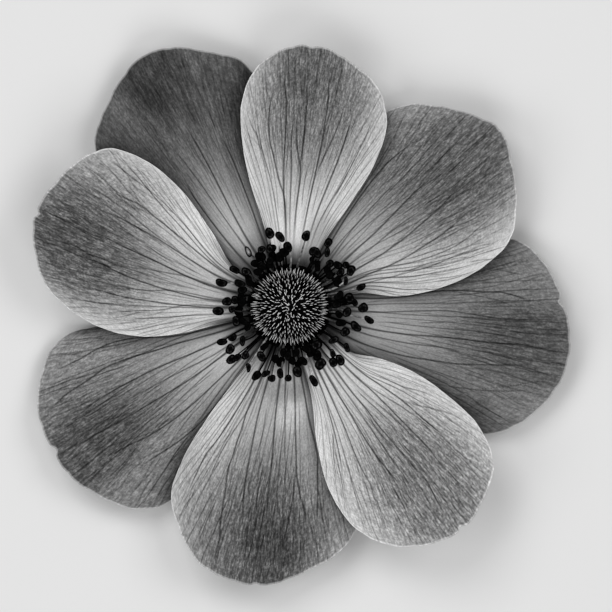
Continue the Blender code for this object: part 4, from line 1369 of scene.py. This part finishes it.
def make_pistil():
    """The dome with all its styles."""
    draw = np.random.default_rng(PISTIL_SEED)
    rows = needle_rows(draw)
    count = len(rows["turn"])
    around = np.stack([np.cos(rows["turn"]), np.sin(rows["turn"])], axis=1)
    foot = np.zeros((count, 3))
    foot[:, :2] = around * (DOME_RADIUS * rows["foot_out"])[:, None]
    foot[:, 2] = DOME_CENTRE + DOME_HEIGHT * rows["foot_up"]
    lean = np.concatenate([around * rows["outward"][:, None], rows["upward"][:, None]], axis=1)
    foot -= NEEDLE_SUNK * lean
    aside = draw.uniform(0, 2 * math.pi, count)
    stray = draw.uniform(*STRAY_MIDDLE, count) * (1.0 - rows["foot_out"]) ** 2
    stray += draw.uniform(0.0, STRAY, count)
    lean[:, 0] += stray * np.cos(aside)
    lean[:, 1] += stray * np.sin(aside)
    lean /= np.linalg.norm(lean, axis=1)[:, None]
    along = np.linspace(0.0, 1.0, NEEDLE_RINGS)
    bend = np.zeros((count, 3))
    bend[:, 2] = NEEDLE_BEND
    length = (rows["length"] + NEEDLE_SUNK) * draw.uniform(*LENGTH_PLAY, count)
    paths = foot[:, None, :] + (times(lean, along) + times(bend, bowed(along))) * length[:, None, None]
    curl = np.stack([np.cos(aside), np.sin(aside), np.full(count, -CURL_DOWN)], axis=1)
    curl *= (draw.uniform(*TIP_CURL, count) * (1.0 - ease(rows["foot_out"] / CURL_END)))[:, None]
    paths += times(curl, np.clip((along - CURL_FROM) / (1.0 - CURL_FROM), 0.0, None) ** 2)
    girth = (GIRTH_MIDDLE - GIRTH_LOSS * rows["foot_out"]) * draw.uniform(*GIRTH_PLAY, count)
    radii = np.interp(along, *NEEDLE_TAPER)[None, :] * girth[:, None]
    bunch = Gather(count + 1)
    bare = rows["bare"][:, None]
    tip = (along - bare) / (TIP_PALE - bare)
    bunch.add(tubes(paths, radii, NEEDLE_SIDES), {"tip": tip, "level": rows["level"][:, None]})
    profile = list(DOME_NECK)
    for angle in np.linspace(DOME_UNDER, 0.5 * math.pi - 0.01, DOME_RINGS):
        profile.append((DOME_RADIUS * math.cos(angle), DOME_CENTRE + DOME_HEIGHT * math.sin(angle)))
    bunch.add(revolved(profile, DOME_SIDES), {"tip": -1.0, "level": 0.0})
    made = bunch.mesh("pistil_fine")
    made.data.materials.append(pistil_material())
    settle(made, "pistil")


def pistil_material():
    """Styles that run from near black at the foot to a pale silky tip, over a black dome."""
    nodes = Nodes("pistil_fine")
    patchy = nodes.solid_noise(0.8, detail=2.0, rough=0.5)
    fine = nodes.solid_noise(9.0, detail=2.0, rough=0.6)
    pale = nodes.between(nodes.stored("tip") + (patchy - 0.5) * 0.3, 0.0, 1.0) * nodes.stored("level")
    tone = nodes.math("MINIMUM", pale * nodes.about_one(fine, 0.6) + 0.0008, 0.92)
    nodes.surface(tone, fine * 0.3 + 0.3, 0.02)
    nodes.bump(fine, 0.02)
    return nodes.material


def make_stem():
    """The knob under the flower and a short ribbed stub of stalk."""
    bunch = Gather(1)
    profile = rounded(STEM, LEG_STEPS)
    bunch.add(revolved(profile, STEM_SIDES, RIB, STEM_RIBS), {"height": profile[:, 1][None, :]})
    made = bunch.mesh("stem_fine")
    made.data.materials.append(stem_material())
    settle(made, "stem")


def stem_material():
    """Ribbed green stalk seen in grey, downy, with a paler pithy cut face."""
    nodes = Nodes("stem_fine")
    fibre = nodes.solid_noise((3.5, 3.5, 0.35), detail=4.0, rough=0.6)
    down = nodes.solid_noise((8.0, 8.0, 3.0), detail=2.0, rough=0.6)
    cut = nodes.without(nodes.between(nodes.stored("height"), 0.50, 0.75))
    tone = (cut * 0.18 + 0.17) * nodes.about_one(fibre, 1.1) * nodes.about_one(down, 0.5)
    nodes.surface(tone, fibre * 0.3 + 0.42, 0.25)
    nodes.bump(fibre + down * 0.5, 0.12)
    return nodes.material


def make_floor():
    """The plain pale ground under the flower."""
    half = GROUND_HALF * MM
    mesh = bpy.data.meshes.new("ground")
    corners = [(-half, -half, 0.0), (half, -half, 0.0), (half, half, 0.0), (-half, half, 0.0)]
    mesh.from_pydata(corners, [], [(0, 1, 2, 3)])
    floor = bpy.data.objects.new("ground", mesh)
    bpy.context.scene.collection.objects.link(floor)
    nodes = Nodes("ground")
    mottle = nodes.solid_noise(0.02, detail=3.0, rough=0.5)
    nodes.surface(nodes.about_one(mottle, 0.02) * GROUND_GREY, 0.8, 0.1)
    mesh.materials.append(nodes.material)


def make_camera():
    """A long lens far above the flower, so that it is seen almost without perspective."""
    data = bpy.data.cameras.new("camera")
    data.sensor_width = SENSOR
    data.lens = SENSOR * CAMERA_ABOVE / VIEW_WIDTH
    data.clip_start, data.clip_end = CLIP
    camera = bpy.data.objects.new("camera", data)
    camera.location = (VIEW_MIDDLE[0] * MM, VIEW_MIDDLE[1] * MM, (VIEW_PLANE + CAMERA_ABOVE) * MM)
    bpy.context.scene.collection.objects.link(camera)
    bpy.context.scene.camera = camera


def make_softbox(name, turn, elevation, power):
    """A square softbox that faces the flower."""
    data = bpy.data.lights.new(name, "AREA")
    data.shape = "SQUARE"
    data.size = SOFTBOX_SIZE
    data.energy = power
    light = bpy.data.objects.new(name, data)
    around, above = math.radians(turn), math.radians(elevation)
    flat = SOFTBOX_AWAY * math.cos(above)
    light.location = (flat * math.cos(around), flat * math.sin(around), SOFTBOX_AWAY * math.sin(above))
    light.rotation_euler = (0.5 * math.pi - above, 0.0, around + 0.5 * math.pi)
    light.visible_camera = False
    bpy.context.scene.collection.objects.link(light)


def make_light():
    """Four softboxes and a faint even light from all round."""
    for softbox in SOFTBOXES:
        make_softbox(*softbox)
    world = bpy.data.worlds.new("studio")
    world.use_nodes = True
    background = world.node_tree.nodes["Background"]
    background.inputs["Color"].default_value = (1.0, 1.0, 1.0, 1.0)
    background.inputs["Strength"].default_value = WORLD_LIGHT
    bpy.context.scene.world = world
    bpy.context.scene.view_settings.view_transform = "Standard"


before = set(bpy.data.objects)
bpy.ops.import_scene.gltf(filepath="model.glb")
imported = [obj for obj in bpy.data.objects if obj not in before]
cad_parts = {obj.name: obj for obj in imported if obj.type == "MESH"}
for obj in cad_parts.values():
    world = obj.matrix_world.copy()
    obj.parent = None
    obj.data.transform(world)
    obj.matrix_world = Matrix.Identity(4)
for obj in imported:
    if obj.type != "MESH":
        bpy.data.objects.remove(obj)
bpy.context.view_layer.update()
make_camera()
make_light()
make_floor()
for number, blade in enumerate(TEPALS):
    make_tepal(blade, np.random.default_rng(TEPAL_SEED + number))
make_stamens()
make_pistil()
make_stem()
